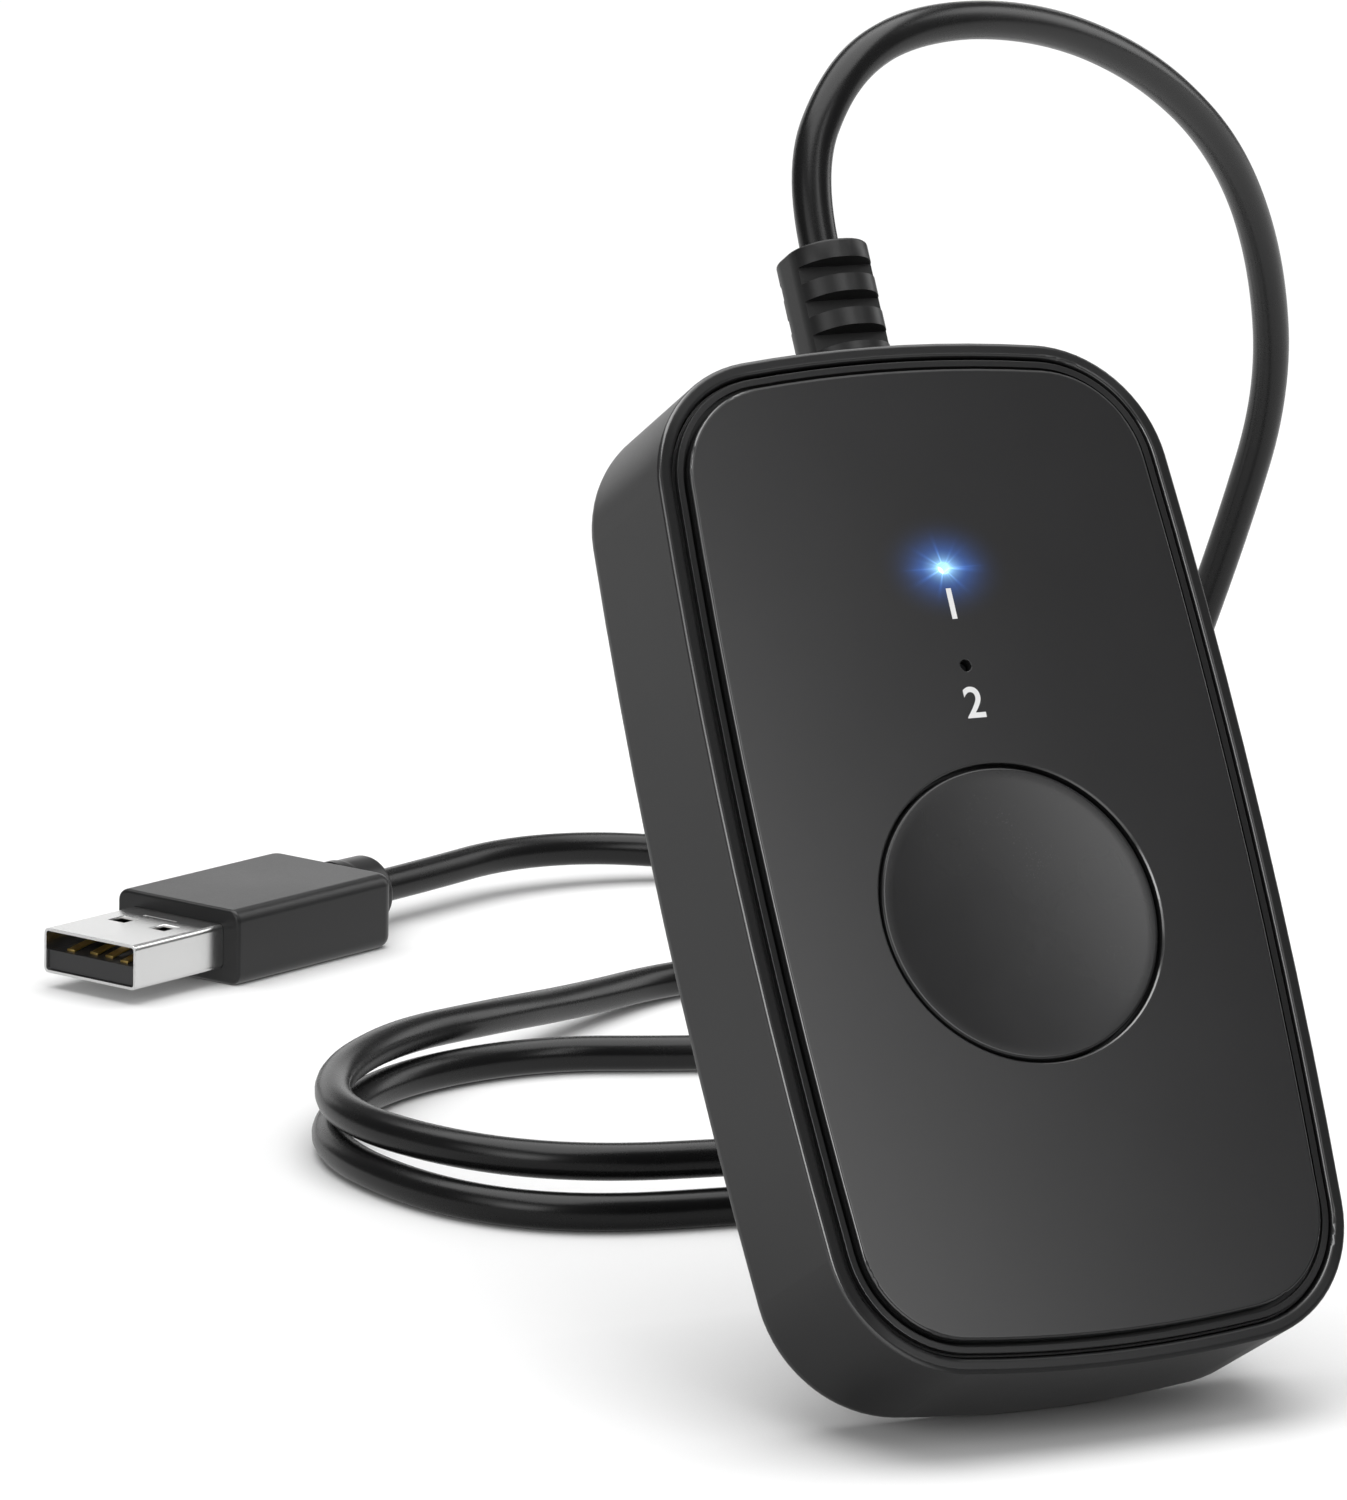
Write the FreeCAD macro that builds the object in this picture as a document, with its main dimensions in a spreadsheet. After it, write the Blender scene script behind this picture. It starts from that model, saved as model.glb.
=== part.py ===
import FreeCAD, Part
import Sketcher
import math
import os
from types import SimpleNamespace

from FreeCAD import Placement, Rotation, Vector

# Mouse jiggler: a hand-sized push-button box on a USB lead, leaning back on its lower edge with its
# lead looped behind it. Millimetres. +X is the width, +Y points to the back, +Z is up from the table.
# The pieces of the box share a frame of their own: x across, y towards the lead, z out of the face.

SIZES = {
    # case outline and depths
    "case_width": 50.0,
    "case_length": 88.8,
    "case_depth": 16.5,
    "side_bow_radius": 536.0,
    "end_bow_radius": 127.0,
    "corner_radius": 11.4,
    "back_edge_round": 2.2,
    "rim_edge_round": 0.4,
    "back_wall": 1.6,
    "side_wall": 2.3,
    "rim_drop": 0.65,
    "rim_band": 1.3,
    "lean_angle": 60.0,
    # front frame and face plate
    "frame_fit": 0.15,
    "frame_thickness": 1.6,
    "groove_width": 0.35,
    "groove_drop": 0.55,
    "ridge_width": 0.55,
    "ridge_drop": 0.6,
    "plate_gap": 0.4,
    "plate_thickness": 1.2,
    "plate_edge_round": 0.25,
    "plate_corner_setback": 0.05,
    "film_thickness": 0.2,
    "film_margin": 1.2,
    # push button
    "button_y": -5.9,
    "button_hole_radius": 12.95,
    "button_gap": 0.3,
    "button_drop": 0.15,
    "button_dish": 0.55,
    "button_edge_round": 0.3,
    "cap_thickness": 1.3,
    "skirt_wall": 1.2,
    "guide_fit": 0.1,
    "flange_width": 1.1,
    "flange_thickness": 0.8,
    "flange_gap": 0.2,
    "button_travel": 0.6,
    "stem_radius": 2.6,
    "cap_rib": 1.0,
    "cap_rib_height": 1.0,
    "rib_overlap": 0.4,
    # push switch under the button
    "switch_size": 12.0,
    "switch_height": 3.2,
    "cover_thickness": 0.3,
    "plunger_radius": 3.4,
    "plunger_height": 1.5,
    "plunger_seat": 1.2,
    "plunger_fit": 0.08,
    "plunger_collar": 0.6,
    "well_clearance": 0.3,
    "stem_gap": 0.05,
    "switch_pin": 1.0,
    "switch_pin_length": 2.4,
    # circuit board
    "board_side_gap": 6.0,
    "board_boss_gap": 0.65,
    "board_tail_gap": 4.0,
    "board_thickness": 1.2,
    "board_level": 5.2,
    "board_corner": 2.0,
    "board_hole_inset": 3.0,
    "chip_size": 7.0,
    "chip_height": 1.2,
    "chip_lead": 0.35,
    "chip_leads": 6.0,
    "chip_pitch": 1.0,
    "chip_standoff": 0.1,
    "chip_from_side": 9.0,
    "chip_from_end": 14.5,
    "crystal_radius": 1.6,
    "crystal_length": 6.0,
    "crystal_x": 7.5,
    "crystal_from_end": 11.5,
    "small_part_length": 2.0,
    "small_part_width": 1.25,
    "capacitor_height": 1.0,
    "resistor_height": 0.5,
    "small_part_pitch": 3.0,
    "chip_parts_gap": 7.5,
    "supply_parts_x": 8.0,
    "supply_parts_from_end": 6.0,
    "low_parts_x": 12.0,
    "low_parts_from_end": 11.5,
    "light_parts_x": 4.5,
    "light_parts_gap": 3.1,
    # status lights
    "light_one_from_end": 20.2,
    "light_spacing": 8.6,
    "lamp_length": 2.8,
    "lamp_width": 2.0,
    "lamp_height": 0.9,
    "pipe_radius": 1.3,
    "pipe_tip_radius": 0.45,
    "pipe_fit": 0.08,
    "pipe_gap": 0.4,
    "pipe_drop": 0.9,
    "pipe_collar": 0.6,
    "socket_wall": 0.9,
    "socket_length": 2.4,
    # screws and posts
    "screw_radius": 1.0,
    "screw_head_radius": 1.8,
    "screw_head_height": 1.3,
    "screw_fit": 0.06,
    "screw_depth": 3.2,
    "screw_hole_rest": 0.4,
    "clamp_hole_rest": 0.6,
    "drive_share": 0.7,
    "post_wall": 1.25,
    "head_bore_fit": 0.3,
    "case_screw_side_inset": 8.5,
    "case_screw_end_inset": 8.9,
    "case_boss_height": 5.9,
    "case_head_level": 5.0,
    "boss_gap": 0.1,
    # rubber feet
    "foot_radius": 4.0,
    "foot_height": 1.5,
    "foot_recess": 0.8,
    "foot_fit": 0.1,
    "foot_taper": 0.25,
    # lead, clamp and strain relief
    "cord_radius": 1.7,
    "cord_offset": 0.25,
    "tail_end_inset": 11.9,
    "clamp_inset": 8.8,
    "clamp_raise": 0.5,
    "clamp_post_x": 6.2,
    "clamp_length": 4.0,
    "clamp_thickness": 2.2,
    "saddle_thickness": 1.6,
    "relief_length": 11.1,
    "relief_width": 7.3,
    "relief_depth": 7.1,
    "relief_corner": 2.3,
    "relief_neck_radius": 3.1,
    "relief_flange_radius": 4.3,
    "relief_flange": 1.6,
    "relief_fit": 0.05,
    "relief_edge_round": 0.35,
    "end_rib": 2.1,
    "rib_width": 1.65,
    "rib_gap": 1.25,
    "rib_slots": 3.0,
    "slot_half_width": 2.6,
    "core_radius": 2.3,
    "relief_gap": 0.05,
    "wire_radius": 0.45,
    "wire_spread": 1.5,
    "wire_bundle": 0.72,
    "wire_overlap_gap": 0.05,
    "wire_lead_in": 1.2,
    "wire_landing": 1.4,
    "wire_inset": 1.6,
    # overlap of joined solids inside one piece
    "root_overlap": 0.5,
    # plug
    "plug_x": -16.3,
    "plug_y": 146.6,
    "plug_heading": 25.0,
    "grip_start": 13.0,
    "grip_length": 24.0,
    "grip_width": 16.0,
    "grip_height": 7.6,
    "grip_edge_round": 1.3,
    "grip_rear_round": 1.6,
    "grip_seat": 5.5,
    "neck_length": 4.8,
    "neck_root_radius": 3.55,
    "neck_tip_radius": 3.35,
    "shell_width": 12.0,
    "shell_height": 4.5,
    "shell_wall": 0.3,
    "shell_corner": 0.6,
    "latch_hole_length": 2.2,
    "latch_hole_width": 2.0,
    "latch_hole_distance": 6.9,
    "latch_hole_spacing": 5.4,
    "tongue_thickness": 1.9,
    "tongue_setback": 0.4,
    "tongue_fit": 0.05,
    "contact_width": 1.0,
    "contact_thickness": 0.25,
    "contact_long": 7.6,
    "contact_short": 6.6,
    "contact_inner": 1.0,
    "contact_outer": 3.5,
    "contact_setback": 0.8,
}

# The lead's free route in the table frame: up from the strain relief, over and down behind the case,
# then two loops lying one on the other and a wider turn to the plug.
FLOOR = SIZES["cord_radius"]
STACK = 5.6
ARCH_ROUTE = [
    (5.0, 35.4, 103.6), (12.2, 39.0, 107.0), (23.0, 43.6, 107.4), (35.8, 49.6, 105.0),
    (49.2, 56.6, 99.4), (61.4, 64.4, 90.8), (70.6, 72.6, 79.2), (76.6, 80.6, 65.4),
    (77.4, 88.8, 50.6), (75.4, 95.0, 34.6), (71.5, 97.6, 19.2), (64.2, 95.6, 7.4),
    (53.1, 93.6, FLOOR),
]
LOOP_ROUTE = [
    (36.8, 94.2, FLOOR), (24.6, 98.0, FLOOR), (10.8, 103.6, FLOOR), (-6.2, 99.2, FLOOR),
    (-18.7, 86.4, FLOOR), (-22.5, 73.5, FLOOR), (-19.5, 57.0, FLOOR), (-10.5, 48.0, FLOOR),
    (5.5, 45.6, FLOOR), (25.0, 43.5, FLOOR), (44.0, 49.0, FLOOR), (58.5, 61.5, FLOOR),
    (66.5, 79.0, FLOOR), (67.5, 99.5, FLOOR), (62.5, 116.5, FLOOR), (51.5, 126.5, FLOOR),
    (37.5, 126.5, FLOOR), (23.0, 118.0, 2.5), (8.5, 107.5, 4.6), (-6.0, 99.5, STACK),
    (-17.5, 88.0, STACK), (-22.5, 74.0, STACK), (-18.0, 59.0, STACK), (-9.0, 50.5, STACK),
    (5.5, 47.6, STACK), (24.0, 45.0, STACK), (43.0, 46.0, STACK), (56.5, 52.0, 3.3),
    (68.5, 63.5, FLOOR), (76.5, 79.5, FLOOR), (82.5, 98.5, FLOOR), (85.0, 118.5, FLOOR),
    (85.0, 137.5, FLOOR), (80.6, 154.2, FLOOR), (70.8, 167.2, FLOOR), (56.8, 174.3, 3.4),
    (42.7, 174.1, 4.1),
]
EXIT_RUN = 7.5
PLUG_RUN = 9.0

doc = FreeCAD.newDocument("jiggler")
sheet = doc.addObject("Spreadsheet::Sheet", "Sizes")
for row, (alias, value) in enumerate(SIZES.items(), start=1):
    sheet.set(f"A{row}", alias)
    sheet.set(f"B{row}", str(value))
    sheet.setAlias(f"B{row}", alias)
doc.recompute()


def number(x):
    return x.value if isinstance(x, Size) else float(x)


def words(x):
    return x.text if isinstance(x, Size) else repr(float(x))


class Size:
    """A length with its value and the spreadsheet expression that gives it."""

    def __init__(self, value, text):
        self.value = value
        self.text = text

    def __add__(self, other):
        return Size(self.value + number(other), f"({self.text} + {words(other)})")

    def __radd__(self, other):
        return Size(number(other) + self.value, f"({words(other)} + {self.text})")

    def __sub__(self, other):
        return Size(self.value - number(other), f"({self.text} - {words(other)})")

    def __rsub__(self, other):
        return Size(number(other) - self.value, f"({words(other)} - {self.text})")

    def __mul__(self, other):
        return Size(self.value * number(other), f"({self.text} * {words(other)})")

    __rmul__ = __mul__

    def __truediv__(self, other):
        return Size(self.value / number(other), f"({self.text} / {words(other)})")

    def __neg__(self):
        return Size(-self.value, f"(-{self.text})")


s = SimpleNamespace(**{name: Size(sheet.get(name), f"Sizes.{name}") for name in SIZES})
parts = []


def bind(obj, prop, size):
    if isinstance(size, Size):
        obj.setExpression(prop, size.text)
    else:
        setattr(obj, prop, size)


def move(obj, x=0.0, y=0.0, z=0.0, turn=None):
    obj.Placement = Placement(Vector(number(x), number(y), number(z)), turn or Rotation())
    for axis, size in (("x", x), ("y", y), ("z", z)):
        if isinstance(size, Size):
            obj.setExpression(f"Placement.Base.{axis}", size.text)
    return obj


CLOSE = 1e-4
CUT_THROUGH = 3
ALONG_X = Rotation(Vector(0, 1, 0), 90)
ALONG_Y = Rotation(Vector(1, 0, 0), -90)


# --- solids from primitives ---------------------------------------------------------------------

def box(name, size_x, size_y, size_z, x, y, z):
    """A block centred on x and y, standing on z."""
    obj = doc.addObject("Part::Box", name)
    for prop, size in (("Length", size_x), ("Width", size_y), ("Height", size_z)):
        bind(obj, prop, size)
    return move(obj, x - size_x / 2, y - size_y / 2, z)


def rod(name, radius, length, x, y, z, turn=None):
    obj = doc.addObject("Part::Cylinder", name)
    bind(obj, "Radius", radius)
    bind(obj, "Height", length)
    return move(obj, x, y, z, turn)


def cone(name, radius_1, radius_2, length, x, y, z, turn=None):
    obj = doc.addObject("Part::Cone", name)
    for prop, size in (("Radius1", radius_1), ("Radius2", radius_2), ("Height", length)):
        bind(obj, prop, size)
    return move(obj, x, y, z, turn)


def fuse(name, shapes):
    obj = doc.addObject("Part::MultiFuse", name)
    obj.Shapes = shapes
    return obj


def cut(name, base, tool):
    obj = doc.addObject("Part::Cut", name)
    obj.Base = base
    obj.Tool = tool
    return obj


def group(name, shapes):
    obj = doc.addObject("Part::Compound", name)
    obj.Links = shapes
    return obj


# --- PartDesign bodies ---------------------------------------------------------------------------

def new_body(name):
    return doc.addObject("PartDesign::Body", name)


def new_sketch(body, name, level=0.0, role="XY_Plane"):
    plane = next(feature for feature in body.Origin.OriginFeatures if feature.Role == role)
    sketch = body.newObject("Sketcher::SketchObject", name)
    sketch.AttachmentSupport = [(plane, "")]
    sketch.MapMode = "FlatFace"
    sketch.AttachmentOffset = Placement(Vector(0, 0, number(level)), Rotation())
    if isinstance(level, Size):
        sketch.setExpression("AttachmentOffset.Base.z", level.text)
    return sketch


def dimension(sketch, kind, *place):
    """Adds a constraint whose last value is a Size, bound to its expression."""
    *where, size = place
    index = sketch.addConstraint(Sketcher.Constraint(kind, *where, number(size)))
    if isinstance(size, Size):
        sketch.setExpression(f"Constraints[{index}]", size.text)


def pin(sketch, geometry, point, x, y):
    """Holds a point at x, y from the sketch's origin."""
    for kind, axis, size in (("DistanceX", -2, x), ("DistanceY", -1, y)):
        if number(size) == 0:
            sketch.addConstraint(Sketcher.Constraint("PointOnObject", geometry, point, axis))
        else:
            dimension(sketch, kind, -1, 1, geometry, point, size)


def circle(sketch, x, y, radius):
    centre = Vector(number(x), number(y), 0)
    index = sketch.addGeometry(Part.Circle(centre, Vector(0, 0, 1), number(radius)), False)
    pin(sketch, index, 3, x, y)
    dimension(sketch, "Radius", index, radius)


def polygon(sketch, corners):
    """A closed outline of straight lines through pinned corners."""
    first = sketch.GeometryCount
    count = len(corners)
    ends = [Vector(number(x), number(y), 0) for x, y in corners]
    for k in range(count):
        sketch.addGeometry(Part.LineSegment(ends[k], ends[(k + 1) % count]), False)
    for k in range(count):
        before = first + (k - 1) % count
        sketch.addConstraint(Sketcher.Constraint("Coincident", before, 2, first + k, 1))
    for k, (x, y) in enumerate(corners):
        pin(sketch, first + k, 1, x, y)


def rectangle(sketch, x, y, size_x, size_y):
    left, right = x - size_x / 2, x + size_x / 2
    low, high = y - size_y / 2, y + size_y / 2
    polygon(sketch, [(left, low), (right, low), (right, high), (left, high)])


def case_outline(sketch, inset):
    """The bowed case outline, moved inwards: eight arcs, each tangent to the next."""
    side = s.side_bow_radius - inset
    end = s.end_bow_radius - inset
    corner = s.corner_radius - inset
    side_centre = s.side_bow_radius - s.case_width / 2
    end_centre = s.end_bow_radius - s.case_length / 2
    reach_1 = number(s.side_bow_radius - s.corner_radius)
    reach_2 = number(s.end_bow_radius - s.corner_radius)
    span = math.hypot(side_centre.value, end_centre.value)
    along = (reach_1 ** 2 - reach_2 ** 2 + span ** 2) / (2 * span)
    across = math.sqrt(reach_1 ** 2 - along ** 2)
    ux, uy = side_centre.value / span, -end_centre.value / span
    corner_x = -side_centre.value + along * ux - across * uy
    corner_y = along * uy + across * ux
    tilt_1 = math.atan2(corner_y, corner_x + side_centre.value)
    tilt_2 = math.atan2(corner_y + end_centre.value, corner_x)
    quarter = math.pi / 2
    arcs = [
        (-side_centre.value, 0, side, -tilt_1, tilt_1),
        (corner_x, corner_y, corner, tilt_1, tilt_2),
        (0, -end_centre.value, end, tilt_2, 2 * quarter - tilt_2),
        (-corner_x, corner_y, corner, 2 * quarter - tilt_2, 2 * quarter - tilt_1),
        (side_centre.value, 0, side, 2 * quarter - tilt_1, 2 * quarter + tilt_1),
        (-corner_x, -corner_y, corner, 2 * quarter + tilt_1, 2 * quarter + tilt_2),
        (0, end_centre.value, end, 2 * quarter + tilt_2, 4 * quarter - tilt_2),
        (corner_x, -corner_y, corner, -tilt_2, -tilt_1),
    ]
    for x, y, radius, start, finish in arcs:
        whole = Part.Circle(Vector(x, y, 0), Vector(0, 0, 1), number(radius))
        sketch.addGeometry(Part.ArcOfCircle(whole, start, finish), False)
    for k in range(8):
        sketch.addConstraint(Sketcher.Constraint("Tangent", k, 2, (k + 1) % 8, 1))
    sketch.addConstraint(Sketcher.Constraint("PointOnObject", 0, 3, -1))
    sketch.addConstraint(Sketcher.Constraint("PointOnObject", 4, 3, -1))
    sketch.addConstraint(Sketcher.Constraint("PointOnObject", 2, 3, -2))
    sketch.addConstraint(Sketcher.Constraint("PointOnObject", 6, 3, -2))
    dimension(sketch, "DistanceX", 0, 3, -1, 1, side_centre)
    dimension(sketch, "DistanceX", -1, 1, 4, 3, side_centre)
    dimension(sketch, "DistanceY", 2, 3, -1, 1, end_centre)
    dimension(sketch, "DistanceY", -1, 1, 6, 3, end_centre)
    for k, (_, _, radius, _, _) in enumerate(arcs):
        dimension(sketch, "Radius", k, radius)


def volume(body):
    return body.Shape.Volume if body.Shape and not body.Shape.isNull() else 0.0


def step(body, kind, name, sketch, size, downwards=False):
    """A Pad or Pocket that has to change the body's volume."""
    before = volume(body)
    feature = body.newObject(f"PartDesign::{kind}", name)
    feature.Profile = sketch
    bind(feature, "Length", size)
    feature.Reversed = downwards == (kind == "Pad")
    doc.recompute()
    change = volume(body) - before
    if (change <= 0) == (kind == "Pad"):
        raise RuntimeError(f"{body.Name}.{name} changed nothing")
    return feature


def pad(body, name, sketch, height, downwards=False):
    return step(body, "Pad", name, sketch, height, downwards)


def pocket(body, name, sketch, depth, upwards=False):
    return step(body, "Pocket", name, sketch, depth, not upwards)


def primitive(body, kind, name, sizes, x, y, z, turn=None):
    """An added or taken away primitive, such as SubtractiveCylinder."""
    feature = body.newObject(f"PartDesign::{kind}", name)
    for prop, size in sizes.items():
        bind(feature, prop, size)
    move(feature, x, y, z, turn)
    doc.recompute()
    return feature


def edges_where(feature, test):
    return [f"Edge{k}" for k, edge in enumerate(feature.Shape.Edges, start=1) if test(edge)]


def soften(body, kind, name, feature, names, size):
    """A Fillet or Chamfer on the named edges."""
    done = body.newObject(f"PartDesign::{kind}", name)
    done.Base = (feature, names)
    bind(done, "Radius" if kind == "Fillet" else "Size", size)
    doc.recompute()
    return done


def flat_at(level, least_reach):
    """Edges lying at a height, at least so far from the z axis."""
    def test(edge):
        low, high = edge.BoundBox.ZMin, edge.BoundBox.ZMax
        reach = max(math.hypot(v.Point.x, v.Point.y) for v in edge.Vertexes)
        flat = abs(low - level) < CLOSE and abs(high - level) < CLOSE
        return flat and reach >= least_reach
    return test


# --- levels and places that several pieces share ------------------------------------------------

rim_level = s.case_depth - s.rim_drop
plate_level = s.case_depth - s.plate_thickness
film_level = plate_level - s.film_thickness
frame_level = film_level - s.frame_thickness
groove_level = s.case_depth - s.rim_drop - s.groove_drop
ridge_level = s.case_depth - s.ridge_drop
frame_inset = s.rim_band + s.frame_fit
ridge_inset = s.rim_band + s.groove_width
recess_inset = ridge_inset + s.ridge_width
plate_inset = recess_inset + s.plate_gap
board_top = s.board_level + s.board_thickness
cap_radius = s.button_hole_radius - s.button_gap
cap_top = s.case_depth - s.button_drop
cap_under = cap_top - s.button_dish - s.cap_thickness
flange_top = frame_level - s.flange_gap
flange_low = flange_top - s.flange_thickness
switch_top = board_top + s.switch_height
plunger_top = switch_top + s.cover_thickness + s.plunger_height
screw_hole = s.screw_radius + s.screw_fit
post_radius = screw_hole + s.post_wall
head_bore = s.screw_head_radius + s.head_bore_fit
boss_radius = head_bore + s.post_wall
case_top_y = s.case_length / 2
inner_end_y = case_top_y - s.side_wall
case_screw_x = s.case_width / 2 - s.case_screw_side_inset
case_screw_y = case_top_y - s.case_screw_end_inset
cord_level = s.case_depth / 2 - s.cord_offset
clamp_y = case_top_y - s.clamp_inset
clamp_level = cord_level + s.clamp_raise
tail_end_y = case_top_y - s.tail_end_inset
board_high = tail_end_y - s.board_tail_gap
board_low = boss_radius + s.board_boss_gap - case_screw_y
board_width = s.case_width - 2 * s.board_side_gap
board_length = board_high - board_low
board_middle = (board_high + board_low) / 2
case_corners = [(side * case_screw_x, end * case_screw_y) for side in (-1, 1) for end in (-1, 1)]
board_corners = [
    (side * (board_width / 2 - s.board_hole_inset),
     board_middle + end * (board_length / 2 - s.board_hole_inset))
    for side in (-1, 1) for end in (-1, 1)
]
light_one_y = case_top_y - s.light_one_from_end
light_two_y = light_one_y - s.light_spacing
lights_y = (light_one_y, light_two_y)
chip_x = s.chip_from_side - board_width / 2
chip_y = board_high - s.chip_from_end
crystal_y = board_high - s.crystal_from_end
grip_middle = s.grip_height / 2
shell_low = grip_middle - s.shell_height / 2

lean = math.radians(number(s.lean_angle))
edge = number(s.back_edge_round)
half = number(s.case_length) / 2
lift = (half - edge) * math.sin(lean) + edge - edge * math.cos(lean)
rear = (half - edge) * math.cos(lean) + edge - edge * math.sin(lean)
soft = number(s.rim_edge_round)
fore = (half - soft) * math.cos(lean) + (number(rim_level) - soft) * math.sin(lean) + soft
plate_fore = number(s.case_length / 2 - plate_inset) * math.cos(lean)
plate_fore += number(s.case_depth) * math.sin(lean)
fore = max(fore, plate_fore - number(s.plate_corner_setback))
CASE_PLACE = Placement(Vector(0, (fore - rear) / 2, lift), Rotation(Vector(1, 0, 0), s.lean_angle.value))
PLUG_TURN = Rotation(Vector(0, 0, 1), s.plug_heading.value)
PLUG_PLACE = Placement(Vector(s.plug_x.value, s.plug_y.value, 0), PLUG_TURN)


def keep(obj, label, place):
    """Names a finished sub-part and puts it in its place."""
    obj.Label = label
    obj.Placement = place
    parts.append(obj)
    return obj


# --- case -----------------------------------------------------------------------------------------

def housing():
    """The moulded tub: bowed walls, rim, ledge for the frame, posts, screw bosses and cable hole."""
    body = new_body("Housing")
    outline = new_sketch(body, "HousingOutline")
    case_outline(outline, 0)
    pad(body, "HousingBlock", outline, rim_level)
    opening = new_sketch(body, "HousingOpening", rim_level)
    case_outline(opening, s.rim_band)
    pocket(body, "HousingMouth", opening, rim_level - frame_level)
    cavity = new_sketch(body, "HousingCavity", frame_level)
    case_outline(cavity, s.side_wall)
    hollow = pocket(body, "HousingHollow", cavity, frame_level - s.back_wall)
    far = number(s.case_width / 2) - number(s.rim_band) / 2
    back = edges_where(hollow, flat_at(0.0, far))
    rounded = soften(body, "Fillet", "HousingBackRound", hollow, back, s.back_edge_round)
    rim = edges_where(rounded, flat_at(number(rim_level), far))
    soften(body, "Fillet", "HousingRimRound", rounded, rim, s.rim_edge_round)

    posts = new_sketch(body, "HousingPosts", s.back_wall)
    for x, y in board_corners:
        circle(posts, x, y, post_radius)
    pad(body, "HousingBoardPosts", posts, s.board_level - s.back_wall)
    bosses = new_sketch(body, "HousingBosses", s.back_wall)
    for x, y in case_corners:
        circle(bosses, x, y, boss_radius)
    pad(body, "HousingScrewBosses", bosses, s.case_boss_height)
    anchors = new_sketch(body, "HousingAnchors", s.back_wall)
    for side in (-1, 1):
        circle(anchors, side * s.clamp_post_x, clamp_y, post_radius)
    pad(body, "HousingClampPosts", anchors, clamp_level - s.back_wall)
    saddle = new_sketch(body, "HousingSaddleSketch", s.back_wall)
    rectangle(saddle, 0, clamp_y, 2 * s.clamp_post_x, s.saddle_thickness)
    pad(body, "HousingSaddle", saddle, cord_level - s.back_wall)

    blind = new_sketch(body, "HousingBlindHoles", s.board_level)
    for x, y in board_corners:
        circle(blind, x, y, screw_hole)
    pocket(body, "HousingPostHoles", blind, s.screw_depth)
    anchor_holes = new_sketch(body, "HousingAnchorHoles", clamp_level)
    for side in (-1, 1):
        circle(anchor_holes, side * s.clamp_post_x, clamp_y, screw_hole)
    pocket(body, "HousingClampHoles", anchor_holes, s.screw_depth + s.clamp_hole_rest)
    feet = new_sketch(body, "HousingFeet")
    for x, y in case_corners:
        circle(feet, x, y, s.foot_radius + s.foot_fit)
    pocket(body, "HousingFootRecesses", feet, s.foot_recess, upwards=True)
    heads = new_sketch(body, "HousingHeadBores", s.foot_recess)
    for x, y in case_corners:
        circle(heads, x, y, head_bore)
    pocket(body, "HousingScrewBores", heads, s.case_head_level - s.foot_recess, upwards=True)
    through = new_sketch(body, "HousingThroughHoles", s.case_head_level)
    for x, y in case_corners:
        circle(through, x, y, screw_hole)
    pocket(body, "HousingScrewHoles", through, s.case_boss_height, upwards=True)

    cable = {"Radius": s.relief_neck_radius + s.relief_fit, "Height": s.side_wall * CUT_THROUGH}
    primitive(body, "SubtractiveCylinder", "HousingCableHole", cable,
              0, inner_end_y - s.side_wall, cord_level, ALONG_Y)
    seat = {"Radius": s.cord_radius + s.relief_fit, "Height": s.saddle_thickness * CUT_THROUGH}
    primitive(body, "SubtractiveCylinder", "HousingCableSeat", seat,
              0, clamp_y - s.saddle_thickness * CUT_THROUGH / 2, cord_level, ALONG_Y)
    return keep(body, "housing", CASE_PLACE)


def front_frame():
    """The frame under the face: a lip in the housing's mouth, a ridge round the plate, sockets, bosses."""
    body = new_body("Frame")
    lip = new_sketch(body, "FrameLip", frame_level)
    case_outline(lip, frame_inset)
    pad(body, "FramePlate", lip, groove_level - frame_level)
    ring = new_sketch(body, "FrameRing", groove_level)
    case_outline(ring, ridge_inset)
    pad(body, "FrameRidge", ring, ridge_level - groove_level)
    recess = new_sketch(body, "FrameRecess", ridge_level)
    case_outline(recess, recess_inset)
    pocket(body, "FramePlateRecess", recess, ridge_level - film_level)

    bosses = new_sketch(body, "FrameBosses", frame_level)
    for x, y in case_corners:
        circle(bosses, x, y, post_radius)
    boss_length = frame_level - s.back_wall - s.case_boss_height - s.boss_gap
    pad(body, "FrameScrewBosses", bosses, boss_length, downwards=True)
    sockets = new_sketch(body, "FrameSockets", frame_level)
    for y in lights_y:
        circle(sockets, 0, y, s.pipe_radius + s.pipe_fit + s.socket_wall)
    pad(body, "FrameLightSockets", sockets, s.socket_length, downwards=True)
    guide = new_sketch(body, "FrameGuide", frame_level)
    guide_radius = cap_radius + s.guide_fit
    circle(guide, 0, s.button_y, guide_radius)
    pocket(body, "FrameButtonHole", guide, s.frame_thickness, upwards=True)

    holes = new_sketch(body, "FrameScrewHoles", frame_level - boss_length)
    for x, y in case_corners:
        circle(holes, x, y, screw_hole)
    pocket(body, "FrameBossHoles", holes, boss_length + s.frame_thickness / 2, upwards=True)
    tubes = new_sketch(body, "FramePipeHoles", frame_level - s.socket_length)
    for y in lights_y:
        circle(tubes, 0, y, s.pipe_radius + s.pipe_fit)
    pocket(body, "FrameSocketHoles", tubes, s.socket_length, upwards=True)
    tips = new_sketch(body, "FrameTipHoles", frame_level)
    for y in lights_y:
        circle(tips, 0, y, s.pipe_tip_radius + s.pipe_fit)
    pocket(body, "FrameLightHoles", tips, s.frame_thickness, upwards=True)
    return keep(body, "front_frame", CASE_PLACE)


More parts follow.
